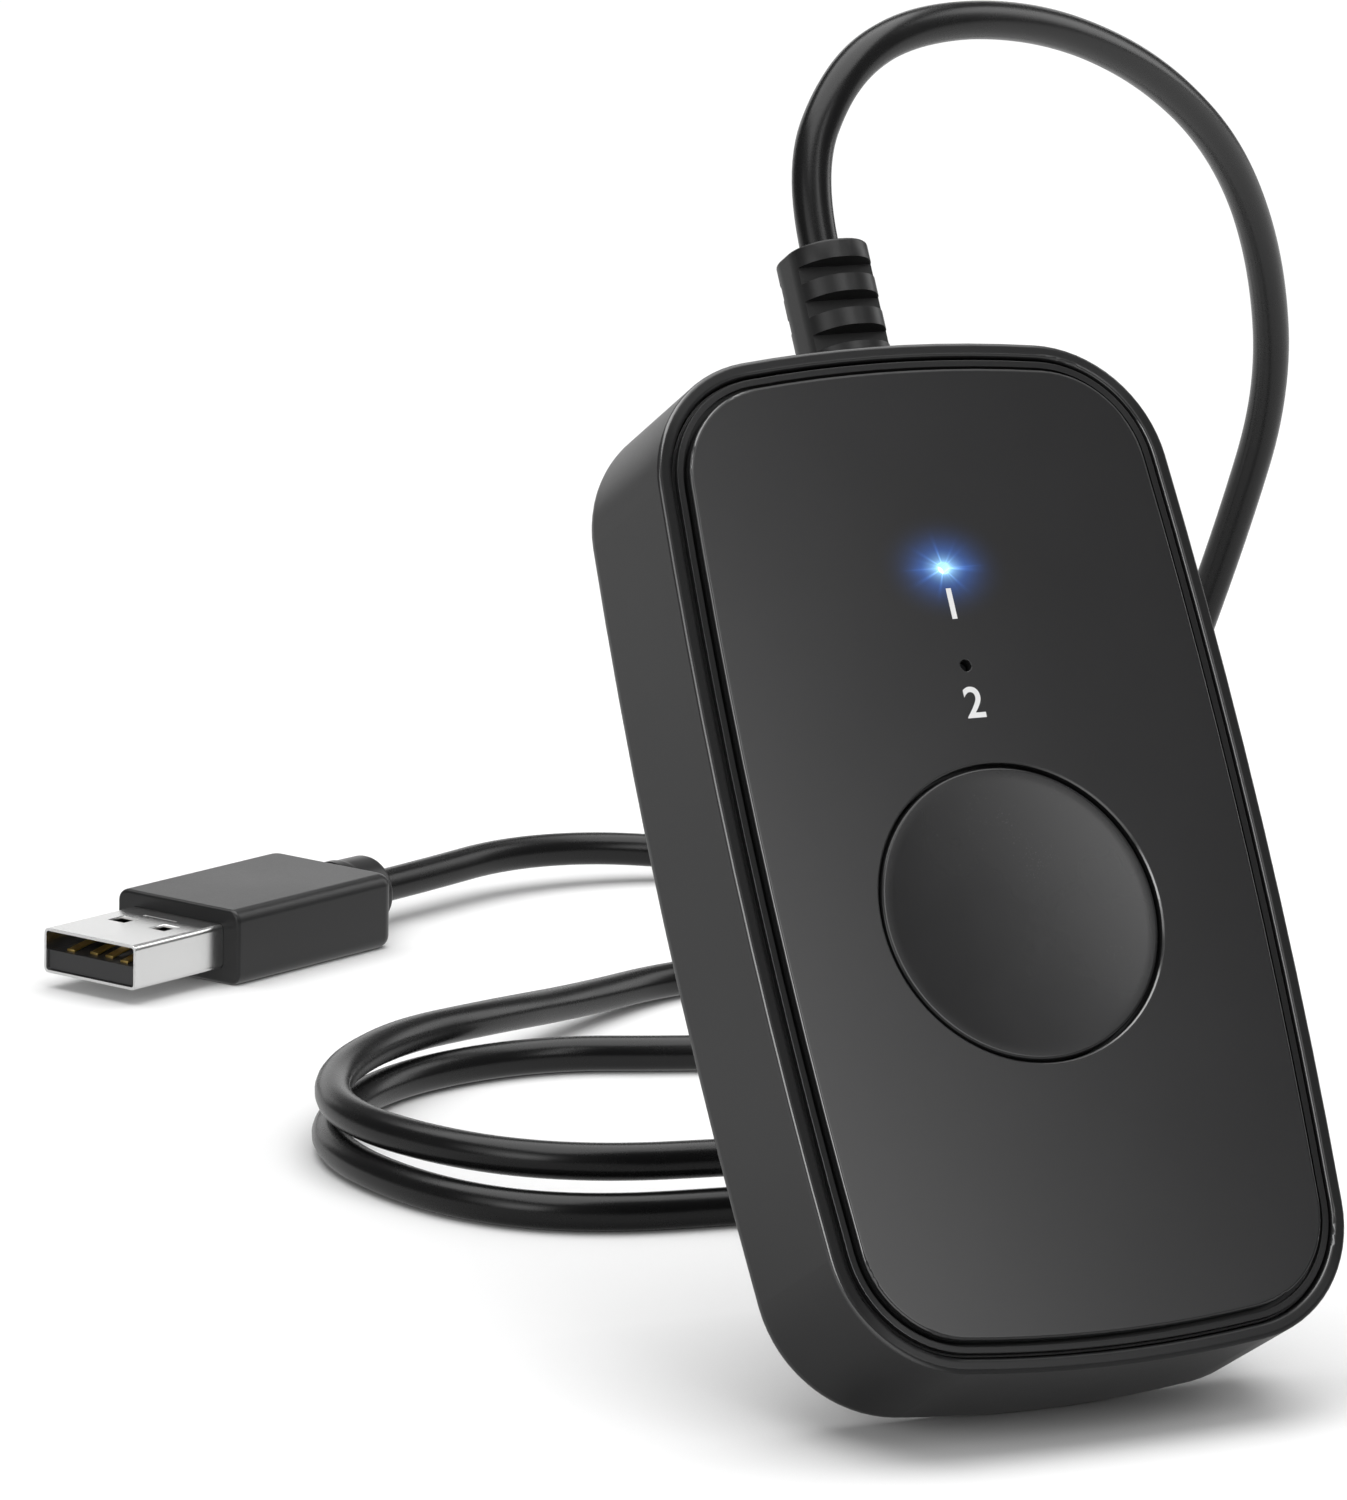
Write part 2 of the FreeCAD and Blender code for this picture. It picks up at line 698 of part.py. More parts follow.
def face_plate():
    """The flat inlaid panel with the button hole and two pin-hole lights."""
    body = new_body("Plate")
    outline = new_sketch(body, "PlateOutline", plate_level)
    case_outline(outline, plate_inset)
    block = pad(body, "PlateBlock", outline, s.plate_thickness)
    top = edges_where(block, flat_at(number(s.case_depth), 0.0))
    soften(body, "Fillet", "PlateRound", block, top, s.plate_edge_round)
    holes = new_sketch(body, "PlateHoles", s.case_depth)
    circle(holes, 0, s.button_y, s.button_hole_radius)
    for y in lights_y:
        circle(holes, 0, y, s.pipe_tip_radius + s.pipe_fit)
    drilled = pocket(body, "PlateOpenings", holes, s.plate_thickness)
    wide = s.button_hole_radius.value

    def on_button_rim(curve):
        circular = isinstance(curve.Curve, Part.Circle) and abs(curve.Curve.Radius - wide) < CLOSE
        return circular and abs(curve.BoundBox.ZMin - number(s.case_depth)) < CLOSE

    rim = edges_where(drilled, on_button_rim)
    soften(body, "Chamfer", "PlateHoleEdge", drilled, rim, s.plate_edge_round / 2)
    return keep(body, "face_plate", CASE_PLACE)


def adhesive_film():
    """The die-cut film that holds the face plate on the frame."""
    body = new_body("Film")
    outline = new_sketch(body, "FilmOutline", film_level)
    case_outline(outline, plate_inset + s.film_margin)
    pad(body, "FilmSheet", outline, s.film_thickness)
    holes = new_sketch(body, "FilmHoles", plate_level)
    circle(holes, 0, s.button_y, s.button_hole_radius + s.film_margin)
    for y in lights_y:
        circle(holes, 0, y, s.pipe_tip_radius + s.film_margin)
    pocket(body, "FilmOpenings", holes, s.film_thickness)
    return keep(body, "adhesive_film", CASE_PLACE)


# --- button and switch ----------------------------------------------------------------------------

def outline_under_dish(sketch, dish_radius, dish_middle, corners):
    """A half section: straight runs, a rounded outer edge and the arc of the dish, back to the axis."""
    radius = s.button_edge_round.value
    wide = cap_radius.value
    reach = math.sqrt((dish_radius.value + radius) ** 2 - (wide - radius) ** 2)
    round_middle = dish_middle.value - reach
    tilt = math.atan2(wide - radius, reach)
    down = -math.pi / 2
    ends = [Vector(number(x), number(y), 0) for x, y in corners]
    ends += [Vector(wide, round_middle, 0)]
    for start, finish in zip(ends, ends[1:]):
        sketch.addGeometry(Part.LineSegment(start, finish), False)
    runs = len(corners)
    up = Vector(0, 0, 1)
    edge_circle = Part.Circle(Vector(wide - radius, round_middle, 0), up, radius)
    dish_circle = Part.Circle(Vector(0, dish_middle.value, 0), up, dish_radius.value)
    rounding = sketch.addGeometry(Part.ArcOfCircle(edge_circle, 0, math.pi / 2 + tilt), False)
    dish = sketch.addGeometry(Part.ArcOfCircle(dish_circle, down, down + tilt), False)
    low = Vector(0, dish_middle.value - dish_radius.value, 0)
    axis = sketch.addGeometry(Part.LineSegment(low, ends[0]), False)
    for k in range(runs - 1):
        sketch.addConstraint(Sketcher.Constraint("Coincident", k, 2, k + 1, 1))
    for k, (x, y) in enumerate(corners):
        pin(sketch, k, 1, x, y)
    sketch.addConstraint(Sketcher.Constraint("Vertical", runs - 1))
    sketch.addConstraint(Sketcher.Constraint("Tangent", runs - 1, 2, rounding, 1))
    sketch.addConstraint(Sketcher.Constraint("Tangent", rounding, 2, dish, 2))
    sketch.addConstraint(Sketcher.Constraint("Coincident", dish, 1, axis, 1))
    sketch.addConstraint(Sketcher.Constraint("Coincident", axis, 2, 0, 1))
    sketch.addConstraint(Sketcher.Constraint("PointOnObject", axis, 1, -2))
    dimension(sketch, "Radius", rounding, s.button_edge_round)
    dimension(sketch, "Radius", dish, dish_radius)
    pin(sketch, dish, 3, 0, dish_middle)


def button_cap():
    """The dished push button: skirt, retaining flange, stem and four stiffening ribs."""
    body = new_body("Cap")
    shape = new_sketch(body, "CapProfile", 0.0, "XZ_Plane")
    inner = cap_radius - s.skirt_wall
    foot = cap_radius + s.flange_width
    stem_low = plunger_top + s.stem_gap
    dish_radius = (cap_radius * cap_radius + s.button_dish * s.button_dish) / (2 * s.button_dish)
    dish_middle = cap_top - s.button_dish + dish_radius
    outline_under_dish(shape, dish_radius, dish_middle, [
        (0, stem_low), (s.stem_radius, stem_low), (s.stem_radius, cap_under), (inner, cap_under),
        (inner, flange_low), (foot, flange_low), (foot, flange_top), (cap_radius, flange_top),
    ])
    turned = body.newObject("PartDesign::Revolution", "CapTurned")
    turned.Profile = shape
    turned.ReferenceAxis = (shape, ["V_Axis"])
    turned.Angle = 360
    doc.recompute()
    ribs = new_sketch(body, "CapRibs", cap_under)
    reach = inner - s.stem_radius + s.rib_overlap
    middle = s.stem_radius + (inner - s.stem_radius) / 2
    for side in (-1, 1):
        rectangle(ribs, side * middle, 0, reach, s.cap_rib)
        rectangle(ribs, 0, side * middle, s.cap_rib, reach)
    pad(body, "CapStiffeners", ribs, s.cap_rib_height, downwards=True)
    place = CASE_PLACE.multiply(Placement(Vector(0, s.button_y.value, 0), Rotation()))
    return keep(body, "button_cap", place)


def switch_body():
    """The push switch's moulded base with its four board pins."""
    block = box("SwitchBlock", s.switch_size, s.switch_size, s.switch_height, 0, s.button_y, board_top)
    well_depth = s.plunger_seat + s.button_travel + s.well_clearance
    well_radius = s.plunger_radius + s.plunger_collar + s.well_clearance
    well_floor = switch_top - well_depth
    well = rod("SwitchWell", well_radius, well_depth + s.root_overlap, 0, s.button_y, well_floor)
    base = cut("SwitchBase", block, well)
    pins = []
    for side in (-1, 1):
        for end in (-1, 1):
            x = side * (s.switch_size / 2 + s.switch_pin / 4)
            y = s.button_y + end * s.switch_size / 4
            pin = box("SwitchPin", s.switch_pin / 2, s.switch_pin, s.switch_pin_length, x, y, board_top)
            pins.append(pin)
    return keep(fuse("SwitchBaseAndPins", [base] + pins), "switch_body", CASE_PLACE)


def switch_cover():
    """The clinched steel cover with the plunger's hole."""
    lid = box("CoverSheet", s.switch_size, s.switch_size, s.cover_thickness, 0, s.button_y, switch_top)
    hole = rod("CoverHole", s.plunger_radius + s.plunger_fit, s.cover_thickness * CUT_THROUGH,
               0, s.button_y, switch_top - s.cover_thickness)
    return keep(cut("SwitchCover", lid, hole), "switch_cover", CASE_PLACE)


def switch_plunger():
    """The plunger: a round post with a collar under the cover."""
    post = rod("PlungerPost", s.plunger_radius, s.plunger_seat + s.cover_thickness + s.plunger_height,
               0, s.button_y, switch_top - s.plunger_seat)
    collar = rod("PlungerCollar", s.plunger_radius + s.plunger_collar, s.plunger_seat - s.well_clearance,
                 0, s.button_y, switch_top - s.plunger_seat)
    raised = fuse("PlungerWithCollar", [post, collar])
    return keep(raised, "switch_plunger", CASE_PLACE)


# --- board ------------------------------------------------------------------------------------------

def main_board():
    """The circuit board with rounded corners and four screw holes."""
    body = new_body("Board")
    outline = new_sketch(body, "BoardOutline", s.board_level)
    rectangle(outline, 0, board_middle, board_width, board_length)
    plate = pad(body, "BoardSheet", outline, s.board_thickness)
    upright = edges_where(plate, lambda e: e.BoundBox.ZLength > number(s.board_thickness) - CLOSE)
    soften(body, "Fillet", "BoardCorners", plate, upright, s.board_corner)
    holes = new_sketch(body, "BoardHoles", board_top)
    for x, y in board_corners:
        circle(holes, x, y, screw_hole)
    pocket(body, "BoardScrewHoles", holes, s.board_thickness)
    return keep(body, "main_board", CASE_PLACE)


def controller_chip():
    """The microcontroller: a flat package with leads on two sides."""
    low = board_top + s.chip_standoff
    pieces = [box("ChipBlock", s.chip_size, s.chip_size, s.chip_height, chip_x, chip_y, low)]
    count = int(s.chip_leads.value)
    for side in (-1, 1):
        for k in range(count):
            x = chip_x + side * (s.chip_size / 2 + s.chip_lead)
            y = chip_y + (k - (count - 1) / 2) * s.chip_pitch
            pieces.append(box("ChipLead", 2 * s.chip_lead, s.chip_lead, s.chip_height / 2, x, y, board_top))
    return keep(fuse("Chip", pieces), "controller_chip", CASE_PLACE)


def crystal():
    """The clock crystal's can, lying on the board."""
    body = new_body("Crystal")
    can = {"Radius": s.crystal_radius, "Height": s.crystal_length}
    primitive(body, "AdditiveCylinder", "CrystalCan", can,
              s.crystal_x, crystal_y - s.crystal_length / 2, board_top + s.crystal_radius, ALONG_Y)
    return keep(body, "crystal", CASE_PLACE)


def small_part(name, height, x, y):
    return box(name, s.small_part_width, s.small_part_length, height, x, y, board_top)


def board_capacitors():
    """Small block capacitors: two under the chip, two by the lead's pads, two near the lower corners."""
    pitch = s.small_part_pitch
    low_y = board_low + s.low_parts_from_end
    places = [(chip_x - k * pitch, chip_y - s.chip_parts_gap) for k in range(2)]
    places += [(s.supply_parts_x + k * pitch, board_high - s.supply_parts_from_end) for k in range(2)]
    places += [(side * s.low_parts_x, low_y) for side in (-1, 1)]
    blocks = [small_part("Capacitor", s.capacitor_height, x, y) for x, y in places]
    return keep(group("Capacitors", blocks), "board_capacitors", CASE_PLACE)


def board_resistors():
    """Flat chip resistors: three beside the lights and four in the lower row."""
    pitch = s.small_part_pitch
    low_y = board_low + s.low_parts_from_end
    places = [(s.light_parts_x + k * pitch, light_two_y - s.light_parts_gap) for k in range(3)]
    places += [(side * (s.low_parts_x - k * pitch), low_y) for side in (-1, 1) for k in (1, 2)]
    blocks = [small_part("Resistor", s.resistor_height, x, y) for x, y in places]
    return keep(group("Resistors", blocks), "board_resistors", CASE_PLACE)


def status_light(index):
    """One board lamp and the clear pipe that takes its light to the face."""
    y = lights_y[index]
    lamp = new_body(f"Lamp{index}")
    block = {"Length": s.lamp_length, "Width": s.lamp_width, "Height": s.lamp_height}
    primitive(lamp, "AdditiveBox", f"LampBlock{index}", block,
              -s.lamp_length / 2, y - s.lamp_width / 2, board_top)
    keep(lamp, f"status_led_{index + 1}", CASE_PLACE)
    foot = board_top + s.lamp_height + s.pipe_gap
    stem = rod(f"PipeStem{index}", s.pipe_radius, frame_level - foot, 0, y, foot)
    tip_length = s.case_depth - s.pipe_drop - frame_level
    tip = rod(f"PipeTip{index}", s.pipe_tip_radius, tip_length, 0, y, frame_level)
    collar = rod(f"PipeCollar{index}", s.pipe_radius + s.pipe_collar, s.pipe_collar, 0, y,
                 frame_level - s.socket_length - s.pipe_collar)
    keep(fuse(f"Pipe{index}", [stem, tip, collar]), f"light_pipe_{index + 1}", CASE_PLACE)


# --- fasteners and feet -------------------------------------------------------------------------------

def screw(name, x, y, head_level, length, upwards=False):
    """A pan-head screw whose shank runs down, or up, from under its head."""
    if upwards:
        low = head_level - s.screw_head_height
        head = rod(f"{name}Head", s.screw_head_radius, s.screw_head_height, x, y, low)
        shank = rod(f"{name}Shank", s.screw_radius, length, x, y, head_level)
        drive = rod(f"{name}Drive", s.screw_radius * s.drive_share, s.screw_head_height, x, y,
                    head_level - s.screw_head_height * 1.5)
    else:
        head = rod(f"{name}Head", s.screw_head_radius, s.screw_head_height, x, y, head_level)
        shank = rod(f"{name}Shank", s.screw_radius, length, x, y, head_level - length)
        drive = rod(f"{name}Drive", s.screw_radius * s.drive_share, s.screw_head_height, x, y,
                    head_level + s.screw_head_height / 2)
    return cut(f"{name}Cut", fuse(name, [head, shank]), drive)


def screws():
    board = [screw(f"BoardScrew{k}", x, y, board_top, s.board_thickness + s.screw_depth - s.screw_hole_rest)
             for k, (x, y) in enumerate(board_corners)]
    keep(group("BoardScrews", board), "board_screws", CASE_PLACE)
    length = frame_level - s.case_head_level
    case = [screw(f"CaseScrew{k}", x, y, s.case_head_level, length, upwards=True)
            for k, (x, y) in enumerate(case_corners)]
    keep(group("CaseScrews", case), "case_screws", CASE_PLACE)
    clamp = [screw(f"ClampScrew{side}", side * s.clamp_post_x, clamp_y, clamp_level + s.clamp_thickness,
                   s.clamp_thickness + s.screw_depth) for side in (-1, 1)]
    keep(group("ClampScrews", clamp), "clamp_screws", CASE_PLACE)


def rubber_feet():
    """Four round feet in the back's recesses, over the case screws."""
    pads = []
    for k, (x, y) in enumerate(case_corners):
        pads.append(cone(f"Foot{k}", s.foot_radius - s.foot_taper, s.foot_radius, s.foot_height, x, y,
                         s.foot_recess - s.foot_height))
    return keep(group("Feet", pads), "rubber_feet", CASE_PLACE)


# --- lead ---------------------------------------------------------------------------------------------

def cable_clamp():
    """The bar that holds the lead's jacket down on its saddle."""
    width = 2 * (s.clamp_post_x + post_radius)
    bar = box("ClampBar", width, s.clamp_length, s.clamp_thickness, 0, clamp_y, clamp_level)
    groove = rod("ClampGroove", s.cord_radius + s.relief_fit, s.clamp_length * CUT_THROUGH, 0,
                 clamp_y - s.clamp_length * CUT_THROUGH / 2, cord_level, ALONG_Y)
    grooved = cut("ClampGrooved", bar, groove)
    for side in (-1, 1):
        hole = rod(f"ClampHole{side}", screw_hole, s.clamp_thickness * CUT_THROUGH,
                   side * s.clamp_post_x, clamp_y, clamp_level - s.clamp_thickness)
        grooved = cut(f"ClampDrilled{side}", grooved, hole)
    return keep(grooved, "cable_clamp", CASE_PLACE)


relief_root = case_top_y + s.relief_gap
relief_tip = relief_root + s.relief_length
relief_bore = s.cord_radius + s.relief_fit


def strain_relief():
    """The ladder-slotted boot that snaps into the case's end wall."""
    body = new_body("Relief")
    inside = inner_end_y - s.relief_gap
    section = new_sketch(body, "ReliefSection", -relief_root, "XZ_Plane")
    rectangle(section, 0, cord_level, s.relief_width, s.relief_depth)
    block = pad(body, "ReliefBlock", section, s.relief_length, downwards=True)
    long_edges = edges_where(block, lambda e: e.BoundBox.YLength > s.relief_length.value - CLOSE)
    soften(body, "Fillet", "ReliefCorners", block, long_edges, s.relief_corner)
    rounded = body.Tip
    end_edges = edges_where(rounded, lambda e: e.BoundBox.YMin > number(relief_tip) - CLOSE)
    soften(body, "Fillet", "ReliefEndRound", rounded, end_edges, s.relief_edge_round)
    neck = {"Radius": s.relief_neck_radius, "Height": relief_root - inside + s.root_overlap}
    primitive(body, "AdditiveCylinder", "ReliefNeck", neck, 0, inside, cord_level, ALONG_Y)
    flange = {"Radius": s.relief_flange_radius, "Height": s.relief_flange}
    primitive(body, "AdditiveCylinder", "ReliefFlange", flange,
              0, inside - s.relief_flange, cord_level, ALONG_Y)
    bore = {"Radius": relief_bore, "Height": relief_tip - inside + s.relief_flange + 2 * s.root_overlap}
    primitive(body, "SubtractiveCylinder", "ReliefBore", bore,
              0, inside - s.relief_flange - s.root_overlap, cord_level, ALONG_Y)
    slot_y = relief_tip - s.end_rib - s.rib_gap / 2
    for name, side in (("Front", 1), ("Back", -1)):
        slot = new_sketch(body, f"Relief{name}Slot", cord_level + side * s.core_radius)
        rectangle(slot, 0, slot_y, 2 * s.slot_half_width, s.rib_gap)
        first = pocket(body, f"Relief{name}Pocket", slot, s.relief_depth, upwards=side > 0)
        ladder = body.newObject("PartDesign::LinearPattern", f"Relief{name}Ladder")
        ladder.Originals = [first]
        ladder.Direction = (slot, ["V_Axis"])
        ladder.Reversed = True
        ladder.Occurrences = int(s.rib_slots.value)
        bind(ladder, "Length", (s.rib_slots - 1) * (s.rib_width + s.rib_gap))
        body.Tip = ladder
        doc.recompute()
    return keep(body, "strain_relief", CASE_PLACE)


def cable_tail():
    """The lead's jacket inside the case, from the wires to the end of the boot."""
    body = new_body("Tail")
    jacket = {"Radius": s.cord_radius, "Height": relief_tip - tail_end_y}
    primitive(body, "AdditiveCylinder", "TailJacket", jacket, 0, tail_end_y, cord_level, ALONG_Y)
    return keep(body, "cable_tail", CASE_PLACE)


def rounded_path(points):
    """Straight runs joined by tangent arcs, as large as the shorter run allows."""
    edges = []
    radii = []
    start = points[0]
    for before, corner, after in zip(points, points[1:], points[2:]):
        back = (before - corner).normalize()
        ahead = (after - corner).normalize()
        reach = 0.45 * min((before - corner).Length, (after - corner).Length)
        half_turn = (math.pi - back.getAngle(ahead)) / 2
        radius = reach / math.tan(half_turn)
        first = corner + back * reach
        last = corner + ahead * reach
        inwards = (back + ahead).normalize()
        middle = corner + inwards * (radius / math.cos(half_turn) - radius)
        edges.append(Part.LineSegment(start, first).toShape())
        edges.append(Part.Arc(first, middle, last).toShape())
        radii.append(radius)
        start = last
    edges.append(Part.LineSegment(start, points[-1]).toShape())
    return edges, radii


def tube(edges, radius):
    """A round solid swept along joined edges, checked against its section times its length."""
    path = Part.Wire(edges)
    start = edges[0].Vertexes[0].Point
    along = edges[0].tangentAt(edges[0].FirstParameter)
    ring = Part.Wire([Part.Circle(start, along, radius).toShape()])
    solid = path.makePipeShell([ring], True, True)
    expected = math.pi * radius ** 2 * path.Length
    if abs(solid.Volume / expected - 1) > 0.01:
        raise RuntimeError(f"tube volume {solid.Volume:.1f}, expected {expected:.1f}")
    return solid


def feature(name, shape):
    obj = doc.addObject("Part::Feature", name)
    obj.Shape = shape
    return obj


def lead():
    """The free lead in two joined lengths: the arch behind the case and the loops on the table."""
    radius = s.cord_radius.value
    tip = CASE_PLACE.multVec(Vector(0, number(relief_tip), cord_level.value))
    outwards = CASE_PLACE.Rotation.multVec(Vector(0, 1, 0))
    back = number(s.grip_start + s.grip_length + s.neck_length)
    neck = PLUG_PLACE.multVec(Vector(back, 0, number(grip_middle)))
    towards = PLUG_PLACE.Rotation.multVec(Vector(1, 0, 0))
    arch = [tip, tip + outwards * EXIT_RUN] + [Vector(*point) for point in ARCH_ROUTE]
    loops = [Vector(*point) for point in LOOP_ROUTE] + [neck + towards * PLUG_RUN, neck]
    seam = (arch[-1] + loops[0]) / 2
    arch_edges, arch_radii = rounded_path(arch + [loops[0]])
    arch_edges[-1] = Part.LineSegment(arch_edges[-1].Vertexes[0].Point, seam).toShape()
    loop_edges, loop_radii = rounded_path([arch[-1]] + loops)
    loop_edges[0] = Part.LineSegment(seam, loop_edges[0].Vertexes[1].Point).toShape()
    length = sum(piece.Length for piece in arch_edges + loop_edges)
    print("lead length", round(length, 1), "mm, bend radii", [round(r, 1) for r in arch_radii + loop_radii])
    keep(feature("ArchTube", tube(arch_edges, radius)), "cord_arch", Placement())
    keep(feature("LoopTube", tube(loop_edges, radius)), "cord_loops", Placement())


def inner_wires():
    """Four insulated wires fanning from the jacket's end to the board."""
    radius = s.wire_radius.value
    start_y = number(tail_end_y - s.wire_overlap_gap)
    end_y = number(board_high - s.wire_inset)
    top = number(board_top) + radius
    bundle = s.wire_bundle.value
    wires = []
    for k, (side, height) in enumerate(((-1, -1), (-1, 1), (1, 1), (1, -1))):
        x = (k - 1.5) * s.wire_spread.value
        z = cord_level.value + height * bundle
        points = [
            Vector(side * bundle, start_y, z),
            Vector(side * bundle, start_y - s.wire_lead_in.value, z),
            Vector(x, end_y + s.wire_landing.value, top),
            Vector(x, end_y, top),
        ]
        edges, _ = rounded_path(points)
        wires.append(tube(edges, radius))
    return keep(feature("Wires", Part.makeCompound(wires)), "inner_wires", CASE_PLACE)


# --- plug ------------------------------------------------------------------------------------------------

def plug_overmould():
    """The grip: a rounded block with a short tapered neck for the lead."""
    body = new_body("Grip")
    block = new_sketch(body, "GripSection", s.grip_start, "YZ_Plane")
    rectangle(block, 0, grip_middle, s.grip_width, s.grip_height)
    solid = pad(body, "GripBlock", block, s.grip_length)
    tail = number(s.grip_start + s.grip_length)

    def rear_upright(line):
        reach = line.BoundBox
        return reach.XMin > tail - CLOSE and reach.ZLength > number(s.grip_height) - CLOSE

    def long_edge(line):
        return line.BoundBox.XLength > number(s.grip_length) / 2

    rear = soften(body, "Fillet", "GripRear", solid, edges_where(solid, rear_upright), s.grip_rear_round)
    soften(body, "Fillet", "GripRound", rear, edges_where(rear, long_edge), s.grip_edge_round)
    taper = {
        "Radius1": s.neck_root_radius,
        "Radius2": s.neck_tip_radius,
        "Height": s.neck_length + s.root_overlap,
    }
    primitive(body, "AdditiveCone", "GripNeck", taper,
              s.grip_start + s.grip_length - s.root_overlap, 0, grip_middle, ALONG_X)
    mouth = new_sketch(body, "GripMouth", s.grip_start, "YZ_Plane")
    rectangle(mouth, 0, grip_middle, s.shell_width, s.shell_height)
    pocket(body, "GripSocket", mouth, s.grip_seat, upwards=True)
    return keep(body, "plug_overmould", PLUG_PLACE)


def plug_shell():
    """The folded steel shell with two latch holes on each broad side."""
    body = new_body("Shell")
    outer = new_sketch(body, "ShellSection", 0.0, "YZ_Plane")
    rectangle(outer, 0, grip_middle, s.shell_width, s.shell_height)
    block = pad(body, "ShellBlock", outer, s.grip_start + s.grip_seat)
    long_edges = edges_where(block, lambda e: e.BoundBox.XLength > number(s.grip_start))
    soften(body, "Fillet", "ShellRound", block, long_edges, s.shell_corner)
    inner = new_sketch(body, "ShellBore", 0.0, "YZ_Plane")
    rectangle(inner, 0, grip_middle, s.shell_width - 2 * s.shell_wall, s.shell_height - 2 * s.shell_wall)
    pocket(body, "ShellInside", inner, s.grip_start + s.grip_seat, upwards=True)
    latch = new_sketch(body, "ShellLatches", shell_low + s.shell_height)
    for side in (-1, 1):
        rectangle(latch, s.latch_hole_distance, side * s.latch_hole_spacing / 2,
                  s.latch_hole_length, s.latch_hole_width)
    pocket(body, "ShellLatchHoles", latch, s.shell_height)
    return keep(body, "plug_shell", PLUG_PLACE)


def plug_tongue():
    """The black insulator in the lower half of the shell."""
    length = s.grip_start + s.grip_seat - s.tongue_setback
    width = s.shell_width - 2 * s.shell_wall - 2 * s.tongue_fit
    low = shell_low + s.shell_wall + s.tongue_fit
    body = new_body("Tongue")
    block = {"Length": length, "Width": width, "Height": s.tongue_thickness}
    primitive(body, "AdditiveBox", "TongueBlock", block, s.tongue_setback, -width / 2, low)
    return keep(body, "plug_tongue", PLUG_PLACE)


def plug_contacts():
    """Four flat contacts on the tongue, the outer two longer."""
    top = shell_low + s.shell_wall + s.tongue_fit + s.tongue_thickness
    strips = []
    for offset, length in ((s.contact_inner, s.contact_short), (s.contact_outer, s.contact_long)):
        for side in (-1, 1):
            start = s.tongue_setback + s.contact_setback + s.contact_long - length
            strips.append(box("Contact", length, s.contact_width, s.contact_thickness,
                              start + length / 2, side * offset, top))
    return keep(group("Contacts", strips), "plug_contacts", PLUG_PLACE)


# --- assembly ---------------------------------------------------------------------------------------------

def build():
    housing()
    front_frame()
    adhesive_film()
    face_plate()
    button_cap()
    switch_body()
    switch_cover()
    switch_plunger()
    main_board()
    controller_chip()
    crystal()
    board_capacitors()
    board_resistors()
    for index in range(2):
        status_light(index)
    screws()
    rubber_feet()
    cable_clamp()
    strain_relief()
    cable_tail()
    inner_wires()
    lead()
    plug_overmould()
    plug_shell()
    plug_tongue()
    plug_contacts()
    doc.recompute()


def check():
    """Every object has to be computed and every sub-part a valid shape."""
    for obj in doc.Objects:
        if "Invalid" in obj.State or "Error" in obj.State:
            raise RuntimeError(f"{obj.Name} failed: {obj.State}")
    for part in parts:
        shape = part.Shape
        if shape.isNull() or not shape.isValid() or not shape.Solids:
            raise RuntimeError(f"{part.Label} is not a valid solid")


def write():
    os.makedirs("parts", exist_ok=True)
    for part in parts:
        part.Shape.exportStep(f"parts/{part.Label}.step")
        low = part.Shape.BoundBox
        print(f"{part.Label:18} {len(part.Shape.Solids):2} solids  volume {part.Shape.Volume:9.2f}"
              f"  x {low.XMin:7.2f} {low.XMax:7.2f}  y {low.YMin:7.2f} {low.YMax:7.2f}"
              f"  z {low.ZMin:7.2f} {low.ZMax:7.2f}")


build()
check()
write()
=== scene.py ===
import math

import bpy
from mathutils import Matrix, Vector


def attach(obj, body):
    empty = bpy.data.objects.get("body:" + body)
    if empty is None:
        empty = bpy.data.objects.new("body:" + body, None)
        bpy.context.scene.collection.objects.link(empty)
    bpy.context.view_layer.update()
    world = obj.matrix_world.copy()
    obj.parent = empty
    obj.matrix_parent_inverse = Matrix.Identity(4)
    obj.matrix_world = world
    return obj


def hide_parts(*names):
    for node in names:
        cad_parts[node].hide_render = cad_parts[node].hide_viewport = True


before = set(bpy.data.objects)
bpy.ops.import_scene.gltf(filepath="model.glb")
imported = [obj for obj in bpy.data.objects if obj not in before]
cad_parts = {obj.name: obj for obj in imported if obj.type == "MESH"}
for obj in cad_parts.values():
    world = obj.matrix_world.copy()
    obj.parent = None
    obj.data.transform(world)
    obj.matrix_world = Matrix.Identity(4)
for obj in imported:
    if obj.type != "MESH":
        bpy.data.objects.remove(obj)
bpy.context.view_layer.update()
bpy.ops.object.select_all(action="DESELECT")

# --- the case's own axes: x across, up along its length towards the lead, out of its face ---------

LEAN = math.radians(60)
CASE_TURN = (LEAN, 0, 0)
CASE_MIDDLE = Vector((0.0, 0.0071927, 0.0376463))
CASE_UP = Vector((0.0, math.cos(LEAN), math.sin(LEAN)))
CASE_OUT = Vector((0.0, -math.sin(LEAN), math.cos(LEAN)))
FACE_LEVEL = 0.0165
LIGHT_ONE = 0.0242
LIGHT_TWO = 0.0156
BUTTON_MIDDLE = -0.0059

# --- the plug's own axis: along runs from its mouth to its neck -----------------------------------

PLUG_HEADING = math.radians(25)
PLUG_MOUTH = Vector((-0.0163, 0.1466, 0.0))
PLUG_TURN = (0, 0, PLUG_HEADING)
PLUG_ALONG = Vector((math.cos(PLUG_HEADING), math.sin(PLUG_HEADING), 0.0))


# --- finishes -------------------------------------------------------------------------------------

